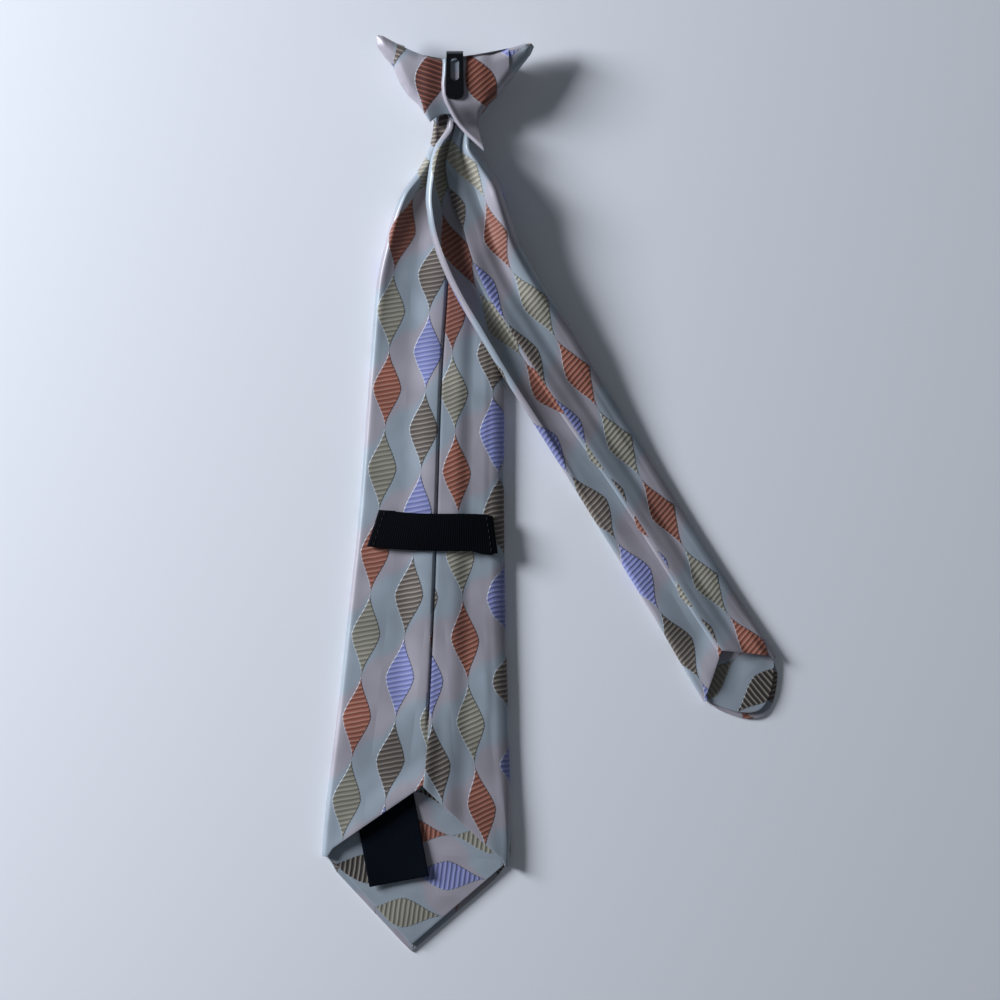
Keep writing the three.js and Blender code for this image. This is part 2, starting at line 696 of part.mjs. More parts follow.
const box = new THREE.Box3().setFromObject(tie);
const centre = box.getCenter(new THREE.Vector3());
tie.position.set(-centre.x, -centre.y, -box.min.z);

export default tie;
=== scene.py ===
"""A boys' clip-on necktie lying face down: its woven cloth, knot, ribbon, label and clip, in metres."""

import logging
import math
from collections.abc import Callable
from dataclasses import dataclass, replace
from enum import Enum
from functools import partial

import bmesh
import bpy
from bpy.types import Material, Node, NodeSocket, NodeTree, Object
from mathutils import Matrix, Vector


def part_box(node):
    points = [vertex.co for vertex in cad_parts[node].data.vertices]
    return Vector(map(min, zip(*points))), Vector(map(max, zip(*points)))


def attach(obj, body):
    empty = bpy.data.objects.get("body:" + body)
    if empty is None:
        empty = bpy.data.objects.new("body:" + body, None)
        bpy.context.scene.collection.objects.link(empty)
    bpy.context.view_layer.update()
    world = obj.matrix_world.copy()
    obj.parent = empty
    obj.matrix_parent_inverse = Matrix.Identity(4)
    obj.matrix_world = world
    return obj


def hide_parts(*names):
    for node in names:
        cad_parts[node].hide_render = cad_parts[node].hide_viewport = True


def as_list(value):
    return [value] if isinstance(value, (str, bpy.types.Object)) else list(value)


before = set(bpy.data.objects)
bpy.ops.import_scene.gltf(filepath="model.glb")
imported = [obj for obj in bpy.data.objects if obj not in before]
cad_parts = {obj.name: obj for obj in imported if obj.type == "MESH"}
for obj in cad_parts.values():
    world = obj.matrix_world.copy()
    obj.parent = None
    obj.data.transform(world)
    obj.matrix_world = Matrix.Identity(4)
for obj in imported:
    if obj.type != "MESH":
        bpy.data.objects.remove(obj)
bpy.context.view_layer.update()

log = logging.getLogger("tie")
MM = 0.001
BODY = "root"
Point = tuple[float, float]
Spot = tuple[float, float, float]
Side = tuple[Point, ...]
SMOOTH = {"interpolation_type": "SMOOTHSTEP"}
COLOURS = {"data_type": "RGBA"}
COLUMN_MM = 15.5  # from one column of the pattern to the next
LOZENGE_MM = 32.4  # from one lozenge to the next along a column
QUARTER = math.pi / 2


def tie_origin() -> Vector:
    """The place in the row frame, in metres, of the middle of the knot's mouth on the floor."""
    low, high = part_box("knot_wrap")
    return Vector(((low[0] + high[0]) / 2, low[1], 0.0))


ORIGIN = tie_origin()


def linear(code: str) -> tuple[float, float, float, float]:
    """A colour for a socket from its sRGB hex value.

    Args:
        code: Six hex digits after a hash.

    Returns:
        Linear red, green, blue and alpha.
    """
    parts = [int(code[k : k + 2], 16) / 255 for k in (1, 3, 5)]
    red, green, blue = ((c / 12.92) if c <= 0.04045 else ((c + 0.055) / 1.055) ** 2.4 for c in parts)
    return (red, green, blue, 1.0)


def mix(a: float, b: float, share: float) -> float:
    """The value a share of the way from a to b."""
    return a + (b - a) * share


def ease(share: float) -> float:
    """A share from 0 to 1, eased at both ends."""
    held = min(max(share, 0.0), 1.0)
    return held * held * (3 - 2 * held)


@dataclass(frozen=True)
class Curve:
    """A smooth curve through a few measured stops, level at both ends."""

    stops: tuple[float, ...]
    values: tuple[float, ...]

    def _rise(self, k: int) -> float:
        """The slope of the straight line between stop k and the next one."""
        return (self.values[k + 1] - self.values[k]) / (self.stops[k + 1] - self.stops[k])

    def _slope(self, k: int) -> float:
        """The curve's slope at stop k, which never overshoots a value."""
        if k in (0, len(self.stops) - 1):
            return 0.0
        before, after = self._rise(k - 1), self._rise(k)
        return 0.0 if before * after <= 0 else 2 * before * after / (before + after)

    def at(self, place: float) -> float:
        """The curve's value.

        Args:
            place: Where to read it. Outside the stops, the end value holds.

        Returns:
            The value there.
        """
        k = 0
        while k < len(self.stops) - 2 and place > self.stops[k + 1]:
            k += 1
        width = self.stops[k + 1] - self.stops[k]
        t = min(max((place - self.stops[k]) / width, 0.0), 1.0)
        bend = self._slope(k) * t * (1 - t) ** 2 - self._slope(k + 1) * t * t * (1 - t)
        return mix(self.values[k], self.values[k + 1], ease(t)) + width * bend


@dataclass(frozen=True)
class Line:
    """A line in plan through a few points, read by its share of the way along."""

    points: tuple[Point, ...]

    def at(self, share: float) -> Point:
        """The point at a share of the line's length, from 0 to 1."""
        runs = [math.dist(a, b) for a, b in zip(self.points, self.points[1:])]
        left = min(max(share, 0.0), 1.0) * sum(runs)
        for (a, b), run in zip(zip(self.points, self.points[1:]), runs):
            if left <= run or (a, b) == (self.points[-2], self.points[-1]):
                t = left / run
                return (mix(a[0], b[0], t), mix(a[1], b[1], t))
            left -= run
        return self.points[-1]

    def distance(self, spot: Point) -> float:
        """How far a spot is from the nearest part of the line, in the line's own unit."""
        best = 1e9
        for (ax, ay), (bx, by) in zip(self.points, self.points[1:]):
            dx, dy = bx - ax, by - ay
            t = ((spot[0] - ax) * dx + (spot[1] - ay) * dy) / (dx * dx + dy * dy)
            t = min(max(t, 0.0), 1.0)
            best = min(best, math.dist(spot, (ax + dx * t, ay + dy * t)))
        return best


def feed(node: Node, inputs: dict[int | str, object]) -> None:
    """Sets or links a node's inputs.

    Args:
        node: The node.
        inputs: For each input, by number or name, a value, a hex colour, or a socket or node to link.
    """
    for key, value in inputs.items():
        if isinstance(value, str):
            value = linear(value)
        if isinstance(value, Node):
            value = next(out for out in value.outputs if out.enabled)
        if isinstance(value, NodeSocket):
            node.id_data.links.new(value, node.inputs[key])
        else:
            node.inputs[key].default_value = value


def add_node(tree: NodeTree, kind: str, inputs: dict[int | str, object], **settings: object) -> Node:
    """Adds one node to a material.

    Args:
        tree: The material's node tree.
        kind: The node's type, as its name goes on after "ShaderNode".
        inputs: What its inputs are fed.
        **settings: The node's own settings.

    Returns:
        The new node.
    """
    node = tree.nodes.new("ShaderNode" + kind)
    for name, value in settings.items():
        setattr(node, name, value)
    feed(node, inputs)
    return node


def new_material(name: str) -> tuple[Material, Callable[..., Node], Node]:
    """An empty material with its output and main shader.

    Args:
        name: The finish's name.

    Returns:
        The material, add_node for its tree, and its Principled shader.
    """
    material = bpy.data.materials.new(name)
    material.use_nodes = True
    material.node_tree.nodes.clear()
    add = partial(add_node, material.node_tree)
    shader = add("BsdfPrincipled", {})
    add("OutputMaterial", {"Surface": shader})
    return material, add, shader


@dataclass(frozen=True)
class OgeeJacquard:
    """Polyester jacquard: satin waves with ribbed ogee lozenges woven on them.

    The satin floats give a soft, directional shine, and the lozenges' cords stand up from it in
    slanted ribs. The map "weave" holds the place on the pattern, in columns and in lozenges.
    """

    name: str = "polyester_jacquard"
    slant: float = -0.27
    far_slant: float = -0.27
    silver: str = "#98A2AB"
    mauve: str = "#A39EA6"
    # Each lozenge colour has a darker twin for the grooves between its cords: partly the base thread, partly
    # painted shade in the grooves.
    rust: str = "#B37E6B"
    rust_base_and_groove_shade: str = "#894E3E"
    cream: str = "#AFAB9C"
    cream_base_and_groove_shade: str = "#888476"
    taupe: str = "#9A9084"
    taupe_base_and_groove_shade: str = "#5A514B"
    lavender: str = "#A1A7D2"
    lavender_base_and_groove_shade: str = "#7B81B8"
    # Outline colours: pale on each lozenge's lit picture-left side and dark on its shaded picture-right
    # side, which is painted light and shade.
    pale_thread_and_lit_edge: str = "#A7AFB6"
    dark_thread_and_shaded_edge: str = "#35302D"
    half_width_mm: float = 5.6
    body_share: float = 0.475
    roundness: float = 0.6
    edge_mm: float = 0.15
    rib_mm: float = 1.9
    shake_mm: float = 0.45
    dash_mm: float = 1.3
    wave_sway: float = 0.85

    def build(self) -> Material:
        """The material, made once."""
        material, add, shader = new_material(self.name)
        place = add("UVMap", {}, uv_map="weave")
        split = add("SeparateXYZ", {0: place})
        across, along = split.outputs[0], split.outputs[1]

        column = add("Math", {0: across}, operation="ROUND")
        beside = add("Math", {0: across, 1: column}, operation="SUBTRACT")
        half = add("Math", {0: column, 1: 0.5}, operation="MULTIPLY")
        shifted = add("Math", {0: along, 1: half}, operation="ADD")
        number = add("Math", {0: shifted}, operation="ROUND")
        down = add("Math", {0: shifted, 1: number}, operation="SUBTRACT")
        odd_column = add("Math", {0: column, 1: 2.0}, operation="FLOORED_MODULO")
        odd_number = add("Math", {0: number, 1: 2.0}, operation="FLOORED_MODULO")

        turn = add("Math", {0: down, 1: math.pi / self.body_share}, operation="MULTIPLY")
        wave = add("Math", {0: turn}, operation="COSINE")
        curved, pointed = self.roundness / 2, 1 - self.roundness
        rounded = add("Math", {0: wave, 1: curved, 2: curved}, operation="MULTIPLY_ADD")
        middle = add("Math", {0: down}, operation="ABSOLUTE")
        fall = -pointed / self.body_share
        straight_side = add("Math", {0: middle, 1: fall, 2: pointed}, operation="MULTIPLY_ADD")
        width = add("Math", {0: rounded, 1: straight_side}, operation="ADD")
        reach = add("Math", {0: width, 1: self.half_width_mm}, operation="MULTIPLY")
        side = add("Math", {0: beside, 1: COLUMN_MM}, operation="MULTIPLY")
        off = add("Math", {0: side}, operation="ABSOLUTE")
        depth = add("Math", {0: reach, 1: off}, operation="SUBTRACT")
        inside = add("MapRange", {0: depth, 1: -self.edge_mm, 2: self.edge_mm}, **SMOOTH)

        run = add("Math", {0: along, 1: LOZENGE_MM}, operation="MULTIPLY")
        lean = add("MapRange", {0: across, 1: 2.0, 2: 4.0, 3: self.slant, 4: self.far_slant})
        slanted = add("Math", {0: side, 1: lean, 2: run}, operation="MULTIPLY_ADD")
        uneven = add("TexNoise", {"Vector": place, "Scale": 4.0, "Detail": 1.0}).outputs[0]
        shaken = add("Math", {0: uneven, 1: self.shake_mm, 2: slanted}, operation="MULTIPLY_ADD")
        count = add("Math", {0: shaken, 1: 2 * math.pi / self.rib_mm}, operation="MULTIPLY")
        swell = add("Math", {0: count}, operation="SINE")
        rib = add("Math", {0: swell, 1: 0.5, 2: 0.5}, operation="MULTIPLY_ADD")
        # Cords get the lozenge's pale colour and the grooves between them its darker twin: partly the base
        # thread, partly painted shade.
        lit = add("MapRange", {0: rib, 1: 0.52, 2: 1.0}, **SMOOTH)

        cell = add("CombineXYZ", {0: column, 1: number})
        chance = add("TexWhiteNoise", {0: cell}, noise_dimensions="2D")
        tones = []
        for warm, pale, dark, cool in (
            (self.rust, self.cream, self.taupe, self.lavender),
            (self.rust_base_and_groove_shade, self.cream_base_and_groove_shade, self.taupe_base_and_groove_shade, self.lavender_base_and_groove_shade),
        ):
            first = add("Mix", {0: odd_number, 6: warm, 7: pale}, **COLOURS)
            second = add("Mix", {0: odd_number, 6: dark, 7: cool}, **COLOURS)
            tones.append(add("Mix", {0: odd_column, 6: first, 7: second}, **COLOURS))
        cord = add("Mix", {0: lit, 6: tones[1], 7: tones[0]}, **COLOURS)
        shade = add("MapRange", {0: chance, 3: 0.74, 4: 1.08})
        toned = add("Mix", {0: 1.0, 6: cord, 7: shade}, blend_type="MULTIPLY", **COLOURS)

        columns_turn = add("Math", {0: across, 1: 2 * math.pi}, operation="MULTIPLY")
        sine = add("Math", {0: columns_turn}, operation="SINE")
        sway = self.wave_sway / (2 * math.pi)
        pushed = add("Math", {0: sine, 1: sway, 2: across}, operation="MULTIPLY_ADD")
        drop = add("Math", {0: pushed, 1: -0.5, 2: along}, operation="MULTIPLY_ADD")
        phase = add("Math", {0: drop, 1: math.pi}, operation="MULTIPLY")
        band = add("Math", {0: phase}, operation="COSINE")
        pink = add("MapRange", {0: band, 1: -0.22, 2: 0.22}, **SMOOTH)
        ground = add("Mix", {0: pink, 6: self.silver, 7: self.mauve}, **COLOURS)

        body = add("Mix", {0: inside, 6: ground, 7: toned}, **COLOURS)
        # A dotted outline round each lozenge, painted pale on its lit picture-left side and dark on its
        # shaded picture-right side: painted highlight and painted shade.
        near = add("Math", {0: depth}, operation="ABSOLUTE")
        line = add("MapRange", {0: near, 1: 0.1, 2: 0.4, 3: 1.0, 4: 0.0}, **SMOOTH)
        picture_left = add("MapRange", {0: beside, 1: -0.03, 2: 0.03})
        beat = add("Math", {0: run, 1: 2 * math.pi / self.dash_mm}, operation="MULTIPLY")
        pulse = add("Math", {0: beat}, operation="SINE")
        dash = add("MapRange", {0: pulse, 1: -0.5, 2: 0.5, 3: 0.15, 4: 0.65})
        stitched = add("Math", {0: line, 1: dash}, operation="MULTIPLY")
        outline = add("Mix", {0: picture_left, 6: self.dark_thread_and_shaded_edge, 7: self.pale_thread_and_lit_edge}, **COLOURS)
        edged = add("Mix", {0: stitched, 6: body, 7: outline}, **COLOURS)

        # Threads are 0.15 mm apart in the real satin. They are drawn 0.4 mm apart, so that they show.
        real = add("CombineXYZ", {0: side, 1: run})
        grain = add("TexNoise", {"Vector": real, "Scale": 2.4, "Detail": 2.0}).outputs[0]
        # Broad soft blotches that brighten and darken the satin are painted sheen, standing in for its soft
        # highlights across the cloth's waves.
        soft = add("TexNoise", {"Vector": real, "Scale": 0.06, "Detail": 1.0}).outputs[0]
        wear_and_painted_sheen = add("MapRange", {0: soft, 1: 0.3, 2: 0.7, 3: 0.86, 4: 1.12})
        woven = add("MapRange", {0: grain, 3: 0.92, 4: 1.06})
        both = add("Math", {0: wear_and_painted_sheen, 1: woven}, operation="MULTIPLY")
        colour = add("Mix", {0: 1.0, 6: edged, 7: both}, blend_type="MULTIPLY", **COLOURS)

        raised = add("Math", {0: rib, 1: inside}, operation="MULTIPLY")
        pad = add("Math", {0: inside, 1: 0.35, 2: raised}, operation="MULTIPLY_ADD")
        height = add("Math", {0: grain, 1: 0.12, 2: pad}, operation="MULTIPLY_ADD")
        bump = add("Bump", {"Height": height, "Strength": 0.55, "Distance": 0.00028})
        rough = add("MapRange", {0: inside, 3: 0.34, 4: 0.62})
        feed(shader, {"Base Color": colour, "Roughness": rough, "Normal": bump})
        feed(shader, {"Sheen Weight": 0.25, "Sheen Roughness": 0.4})
        return material


@dataclass(frozen=True)
class RibbedRibbon:
    """Dark polyester ribbon or label satin: fine cords across it, with a low shine along them.

    The cords are drawn about twice as far apart as real ones, so that they show.
    """

    name: str
    colour: str
    lift: str
    cord_mm: float
    roughness: float

    def build(self) -> Material:
        """The material, made once, on the map "weave" in millimetres."""
        material, add, shader = new_material(self.name)
        place = add("UVMap", {}, uv_map="weave")
        along = add("SeparateXYZ", {0: place}).outputs[1]
        count = add("Math", {0: along, 1: 2 * math.pi / self.cord_mm}, operation="MULTIPLY")
        swell = add("Math", {0: count}, operation="SINE")
        grain = add("TexNoise", {"Vector": place, "Scale": 3.0, "Detail": 2.0}).outputs[0]
        cord = add("Math", {0: swell, 1: 0.5, 2: grain}, operation="MULTIPLY_ADD")
        share = add("MapRange", {0: cord})
        colour = add("Mix", {0: share, 6: self.colour, 7: self.lift}, **COLOURS)
        bump = add("Bump", {"Height": cord, "Strength": 0.5, "Distance": 0.00012})
        rough = add("MapRange", {0: share, 3: self.roughness + 0.1, 4: self.roughness})
        feed(shader, {"Base Color": colour, "Roughness": rough, "Normal": bump})
        feed(shader, {"Sheen Weight": 0.01, "Specular IOR Level": 0.06})
        return material


@dataclass(frozen=True)
class BlackEnamel:
    """Stamped steel with baked black enamel: smooth and glossy, worn a little at random."""

    name: str = "black_enamel"
    colour: str = "#020304"
    wear_and_painted_sheen: str = "#0A0D12"

    def build(self) -> Material:
        """The material, made once."""
        material, add, shader = new_material(self.name)
        place = add("TexCoord", {}).outputs["Object"]
        flecks = add("TexNoise", {"Vector": place, "Scale": 900.0}).outputs[0]
        share = add("MapRange", {0: flecks, 1: 0.45, 2: 0.75})
        colour = add("Mix", {0: share, 6: self.colour, 7: self.wear_and_painted_sheen}, **COLOURS)
        rough = add("MapRange", {0: flecks, 3: 0.1, 4: 0.2})
        bump = add("Bump", {"Height": flecks, "Strength": 0.1, "Distance": 0.00003})
        feed(shader, {"Base Color": colour, "Roughness": rough, "Normal": bump})
        feed(shader, {"Coat Weight": 0.6, "Coat Roughness": 0.06})
        return material


@dataclass(frozen=True)
class SewingThread:
    """Spun polyester thread: matt, with a twist that shows as fine slanted bands."""

    name: str
    colour: str
    groove: str

    def build(self) -> Material:
        """The material, made once."""
        material, add, shader = new_material(self.name)
        place = add("TexCoord", {}).outputs["Object"]
        wave = add("TexWave", {"Vector": place, "Scale": 900.0}, bands_direction="DIAGONAL")
        twist = wave.outputs["Fac"]
        colour = add("Mix", {0: twist, 6: self.groove, 7: self.colour}, **COLOURS)
        bump = add("Bump", {"Height": twist, "Strength": 0.4, "Distance": 0.0001})
        feed(shader, {"Base Color": colour, "Normal": bump, "Roughness": 0.75})
        return material


Woven = Callable[[int, int], tuple[Spot, Point]]


def shaped_grid(name: str, columns: int, rows: int, woven: Woven) -> Object:
    """A piece shaped from one flat grid.

    Args:
        name: The piece's name.
        columns: How many faces it has across.
        rows: How many faces it has along.
        woven: Gives, for a column and a row, the point in millimetres from the middle of the
            knot's mouth, and the place on the cloth's pattern.

    Returns:
        The new object, with the map "weave".
    """
    shape = bmesh.new()
    bmesh.ops.create_grid(shape, x_segments=columns, y_segments=rows, size=1)
    made = {}
    for vert in shape.verts:
        made[vert] = woven(round((vert.co.x + 1) / 2 * columns), round((vert.co.y + 1) / 2 * rows))
    chart = shape.loops.layers.uv.new("weave")
    for face in shape.faces:
        for loop in face.loops:
            loop[chart].uv = made[loop.vert][1]
    for vert, (point, _) in made.items():
        vert.co = ORIGIN + Vector(point) * MM
    return finish_mesh(name, shape)


def finish_mesh(name: str, shape: bmesh.types.BMesh) -> Object:
    """Turns a bmesh into an object that rides on the tie.

    Args:
        name: The piece's name.
        shape: The bmesh, which is freed.

    Returns:
        The new object, smooth and linked to the scene.
    """
    mesh = bpy.data.meshes.new(name)
    shape.to_mesh(mesh)
    shape.free()
    mesh.shade_smooth()
    piece = bpy.data.objects.new(name, mesh)
    bpy.context.scene.collection.objects.link(piece)
    return piece


def close_up(piece: Object, sliver_mm: float = 0.0) -> None:
    """Joins a rolled grid's sides, fills its ends and turns its faces outwards.

    Args:
        piece: The piece.
        sliver_mm: Edges shorter than this are dissolved.
    """
    shape = bmesh.new()
    shape.from_mesh(piece.data)
    bmesh.ops.remove_doubles(shape, verts=shape.verts, dist=0.02 * MM)
    if sliver_mm:
        bmesh.ops.dissolve_degenerate(shape, edges=shape.edges, dist=sliver_mm * MM)
    rims = [edge for edge in shape.edges if edge.is_boundary]
    bmesh.ops.holes_fill(shape, edges=rims, sides=0)
    bmesh.ops.triangulate(shape, faces=[face for face in shape.faces if len(face.verts) > 4])
    bmesh.ops.recalc_face_normals(shape, faces=shape.faces)
    shape.to_mesh(piece.data)
    shape.free()
    piece.data.shade_smooth()


def soften(piece: Object, radius: float) -> None:
    """Rounds a piece's sharp edges to a radius in millimetres."""
    soft = piece.modifiers.new("edge", "BEVEL")
    soft.width = radius * MM
    soft.segments = 2
    soft.limit_method = "ANGLE"
    soft.angle_limit = math.radians(55)


def thicken(piece: Object, thickness: float, edge: float = 0.22) -> None:
    """Gives a sheet its thickness and a soft edge.

    Args:
        piece: The sheet.
        thickness: Its thickness in millimetres.
        edge: The radius of its edge in millimetres.
    """
    wall = piece.modifiers.new("thickness", "SOLIDIFY")
    wall.thickness = thickness * MM
    wall.offset = 0.0
    soften(piece, edge)


def dress(piece: Object, finish: Material, slot: str, *nodes: str) -> None:
    """Puts a finish on a piece, hides the solids that it replaces, and makes it ride on the tie.

    Args:
        piece: The finished piece.
        finish: Its material.
        slot: Not used.
        *nodes: The solids that it replaces.
    """
    piece.data.materials.clear()
    piece.data.materials.append(finish)
    if nodes:
        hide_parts(*nodes)
    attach(piece, BODY)
    log.info("made %s with %d vertices", piece.name, len(piece.data.vertices))


class Panel(Enum):
    """The parts of a folded blade's section, from the hidden edge to the seam."""

    TUCK = "left flap's end, tucked under the lap"
    LEFT_FLAP = "left flap"
    LEFT_FOLD = "left fold"
    FRONT = "front"
    RIGHT_FOLD = "right fold"
    RIGHT_FLAP = "right flap"
    LAP = "lap"


@dataclass(frozen=True)
class Measures:
    """The measures of a blade's section in millimetres, all of the cloth's middle."""

    front: float
    flap: float
    left: float
    right: float
    seam: float
    left_top: float
    right_top: float
    groove: float
    lip: float
    right_reach: float

    @property
    def left_radius(self) -> float:
        """The radius of the left fold."""
        return (self.left_top - self.front) / 2

    @property
    def right_radius(self) -> float:
        """The radius of the right fold."""
        return (self.right_top - self.front) / 2

    @property
    def left_bulge(self) -> float:
        """How far the left fold reaches across, which stays small where the fold stands tall."""
        return min(self.left_radius, 1.9)

    @property
    def right_bulge(self) -> float:
        """How far the right fold reaches across, which is more, because its edge is soft."""
        return min(self.right_radius * 2.4, self.right_reach)

    def lap(self, share: float) -> float:
        """A place between the seam and the right edge, as a share of the way."""
        return mix(self.seam, self.right, share)


SECTION_COLUMNS = ("along", "left", "right", "seam", "neck", "over", "loft", "left_rise", "right_rise")

WIDE_SECTIONS = (
    (0, 0.07, 0.06, 0, 1, 0, 0, 0.05, 0),
    (0.027, 0.103, 0.079, 0.01, 0.9, 0, 0.15, 0.35, 0),
    (0.058, 0.243, 0.2, 0.02, 0.55, 0, 0.3, 0.6, 0),
    (0.088, 0.443, 0.346, 0.02, 0.28, 0, 0.45, 0.7, 0),
    (0.14, 0.594, 0.467, 0.02, 0.05, 0, 0.65, 0.6, 0),
    (0.201, 0.691, 0.54, 0.02, 0, 0, 0.85, 0.35, 0),
    (0.293, 0.718, 0.594, 0.01, 0, 0, 1, 0.1, 0),
    (0.457, 0.752, 0.681, 0.035, 0, 0, 1, 0, 0),
    (0.58, 0.818, 0.765, 0.055, 0, 0, 1, 0, 0),
    (0.713, 0.897, 0.879, 0.06, 0, 0, 1, 0, 0),
    (0.887, 1, 1, 0.01, 0, 0, 1, 0, 0),
    (1, 1, 1, 0, 0, 0, 1, 0, 0),
)

TAIL_SECTIONS = (
    (0, -0.3, 0.16, 0, 1, 0, 0, 0.35, 0.1),
    (0.032, 0.194, 0.146, -0.15, 0.1, 0.6, 0.1, 0.65, 0.65),
    (0.066, 0.517, 0.501, -0.28, 0, 0.62, 0.2, 0.95, 0.85),
    (0.112, 0.839, 0.871, -0.28, 0, 0.74, 0.35, 1, 0.85),
    (0.155, 0.919, 0.919, -0.18, 0, 0.88, 0.5, 0.85, 0.6),
    (0.197, 0.895, 0.895, -0.21, 0, 1, 0.6, 0.6, 0.4),
    (0.279, 0.903, 0.887, -0.27, 0, 0.97, 0.75, 0.4, 0.2),
    (0.372, 0.944, 0.927, -0.25, 0, 0.8, 0.75, 0.2, 0),
    (0.485, 0.895, 0.887, -0.19, 0, 0.36, 0.7, 0.1, 0),
    (0.609, 0.887, 0.887, -0.08, 0, 0.04, 0.65, 0, 0),
    (0.691, 0.887, 0.887, -0.06, 0, 0, 0.6, 0, 0),
    (0.804, 0.919, 0.919, -0.05, 0, 0, 0.55, 0, 0),
    (0.936, 1, 1, 0, 0, 0, 0.5, 0, 0),
    (1, 1, 1, 0, 0, 0, 0.5, 0, 0),
)


@dataclass
class FoldedBlade:
    """A blade: one piece of cloth folded at both edges, its flaps lapped at the seam on the back."""

    name: str
    node: str
    sections: tuple[tuple[float, ...], ...]
    length: float
    half: float
    neck_height: float
    turn: Curve
    point: float
    hem: float
    point_power: float
    left_on_cloth: Curve
    right_on_cloth: Curve
    lozenges: Curve
    flat: Point
    flat_area: float
    rests_on: tuple[str, ...]
    rows: int
    groove: Curve
    lip: Curve
    right_reach: Curve
    right_spread: float = 1.0
    neck_half: float = 6.6
    neck_depth: float = 8.0
    over_height: float = 7.0
    trough_rise: float = 7.0
    steepness: float = 4.0
    shoulder: float = 1.45
    cloth: float = 1.0
    layer: float = 1.3
    thickness: float = 0.8
    lap_width: float = 5.5
    tuck_width: float = 2.6
    swell_start: float = 14.0
    swell_rise: float = 11.5
    swell_gap: float = 0.65
    swell_dive: float = 0.8
    waves: tuple[tuple[float, float, float], ...] = ((0.2, 19.0, 14.0), (0.1, 9.3, -9.1))
    wave_lift: float = 0.25
    wave_start: float = 60.0
    hem_lift: float = 0.9
    hem_run: float = 14.0
    pinch: float = 0.25
    pinch_run: float = 5.0
    neck_rows: int = 6
    steps: int = 200

    def __post_init__(self) -> None:
        """Reads the table into curves, and lays out the route and the columns."""
        stops = tuple(row[0] for row in self.sections)
        self.curves = {
            name: Curve(stops, tuple(row[k] for row in self.sections))
            for k, name in enumerate(SECTION_COLUMNS)
        }
        self.route = [(0.0, 0.0, math.radians(self.turn.at(0.0)))]
        run = self.length / self.steps
        for k in range(1, self.steps + 1):
            heading = math.radians(self.turn.at((k - 0.5) / self.steps))
            x, y, _ = self.route[-1]
            self.route.append((x + run * math.sin(heading), y - run * math.cos(heading), heading))
        self.columns: list[tuple[Panel, float]] = []
        for panel, count, first in (
            (Panel.TUCK, 16, 0),
            (Panel.LEFT_FLAP, 18, 0),
            (Panel.LEFT_FOLD, 10, 0),
            (Panel.FRONT, 18, 1),
            (Panel.RIGHT_FOLD, 10, 0),
            (Panel.RIGHT_FLAP, 12, 1),
            (Panel.LAP, 10, 1),
        ):
            last = count if panel in (Panel.TUCK, Panel.LEFT_FLAP, Panel.FRONT) else count + 1
            self.columns += [(panel, k / count) for k in range(first, last)]

    def measures(self, length: float) -> Measures:
        """The section's measures at a length from the knot's mouth."""
        along = length / self.length
        read = {name: curve.at(along) for name, curve in self.curves.items()}
        front = read["neck"] * self.neck_height + read["over"] * self.over_height + self.cloth / 2
        flap = front + self.layer * (1 + 2 * read["loft"])
        return Measures(
            front=front,
            flap=flap,
            left=self.cloth / 2 - mix(self.neck_half, self.half, read["left"]),
            right=mix(self.neck_half, self.half, read["right"]) - self.cloth / 2,
            seam=read["seam"] * self.half,
            left_top=flap + read["left_rise"] * self.trough_rise,
            right_top=flap + read["right_rise"] * self.trough_rise,
            groove=self.groove.at(length),
            lip=self.lip.at(length),
            right_reach=self.right_reach.at(length),
        )

    def section(self, panel: Panel, t: float, m: Measures) -> Spot:
        """One place round the section.

        Args:
            panel: The part of the section.
            t: The share of the way through that part.
            m: The section's measures.

        Returns:
            The place across, the height, and how far beyond the fold it is on the cloth.
        """
        left_start = m.left + m.left_bulge
        right_start = m.right - m.right_bulge
        if panel in (Panel.TUCK, Panel.LEFT_FLAP):
            brink = m.seam - min(self.tuck_width, 0.4 * max(m.seam - left_start, 0.0))
            if panel is Panel.TUCK:
                across, wall = mix(m.lap(0.2), brink, 1 - (1 - t) ** 2), 0.0
            else:
                across, wall = mix(brink, left_start, t), t**self.steepness
            height = mix(m.flap, m.left_top, wall) + m.groove * self.crest(across - m.seam)
            return across, height, -QUARTER * m.left_radius - (across - left_start)
        if panel is Panel.LEFT_FOLD:
            angle = t * math.pi
            across = m.left + m.left_bulge * (1 - math.sin(angle))
            return across, m.front + m.left_radius * (1 + math.cos(angle)), m.left_radius * (angle - QUARTER)
        if panel is Panel.FRONT:
            return mix(left_start, right_start, t), m.front, t
        if panel is Panel.RIGHT_FOLD:
            angle = t * math.pi
            sine, cosine = max(math.sin(angle), 0.0), math.cos(angle)
            fall = self.shoulder if cosine < 0 else 1.0
            across = m.right - m.right_bulge * (1 - sine**fall)
            height = m.front + m.right_radius * (1 - math.copysign(abs(cosine) ** fall, cosine))
            return across, height, m.right_radius * (angle - QUARTER)
        if panel is Panel.RIGHT_FLAP:
            across = mix(right_start, m.lap(0.5), t)
            height = mix(m.right_top, m.flap, ease(t))
        else:
            across = mix(m.lap(0.5), m.seam, t)
            height = m.flap + self.layer * ease(t * 2) + m.lip * ease(1 - (across - m.seam) / self.lap_width)
        return across, height, QUARTER * m.right_radius + (right_start - across) * self.right_spread

    def crest(self, beside: float) -> float:
        """How far the left flap swells, from 0 to 1, before it dives under the lap beside the seam."""
        rise = ease((beside + self.swell_start) / self.swell_rise)
        return rise * ease((-self.swell_gap - beside) / self.swell_dive)

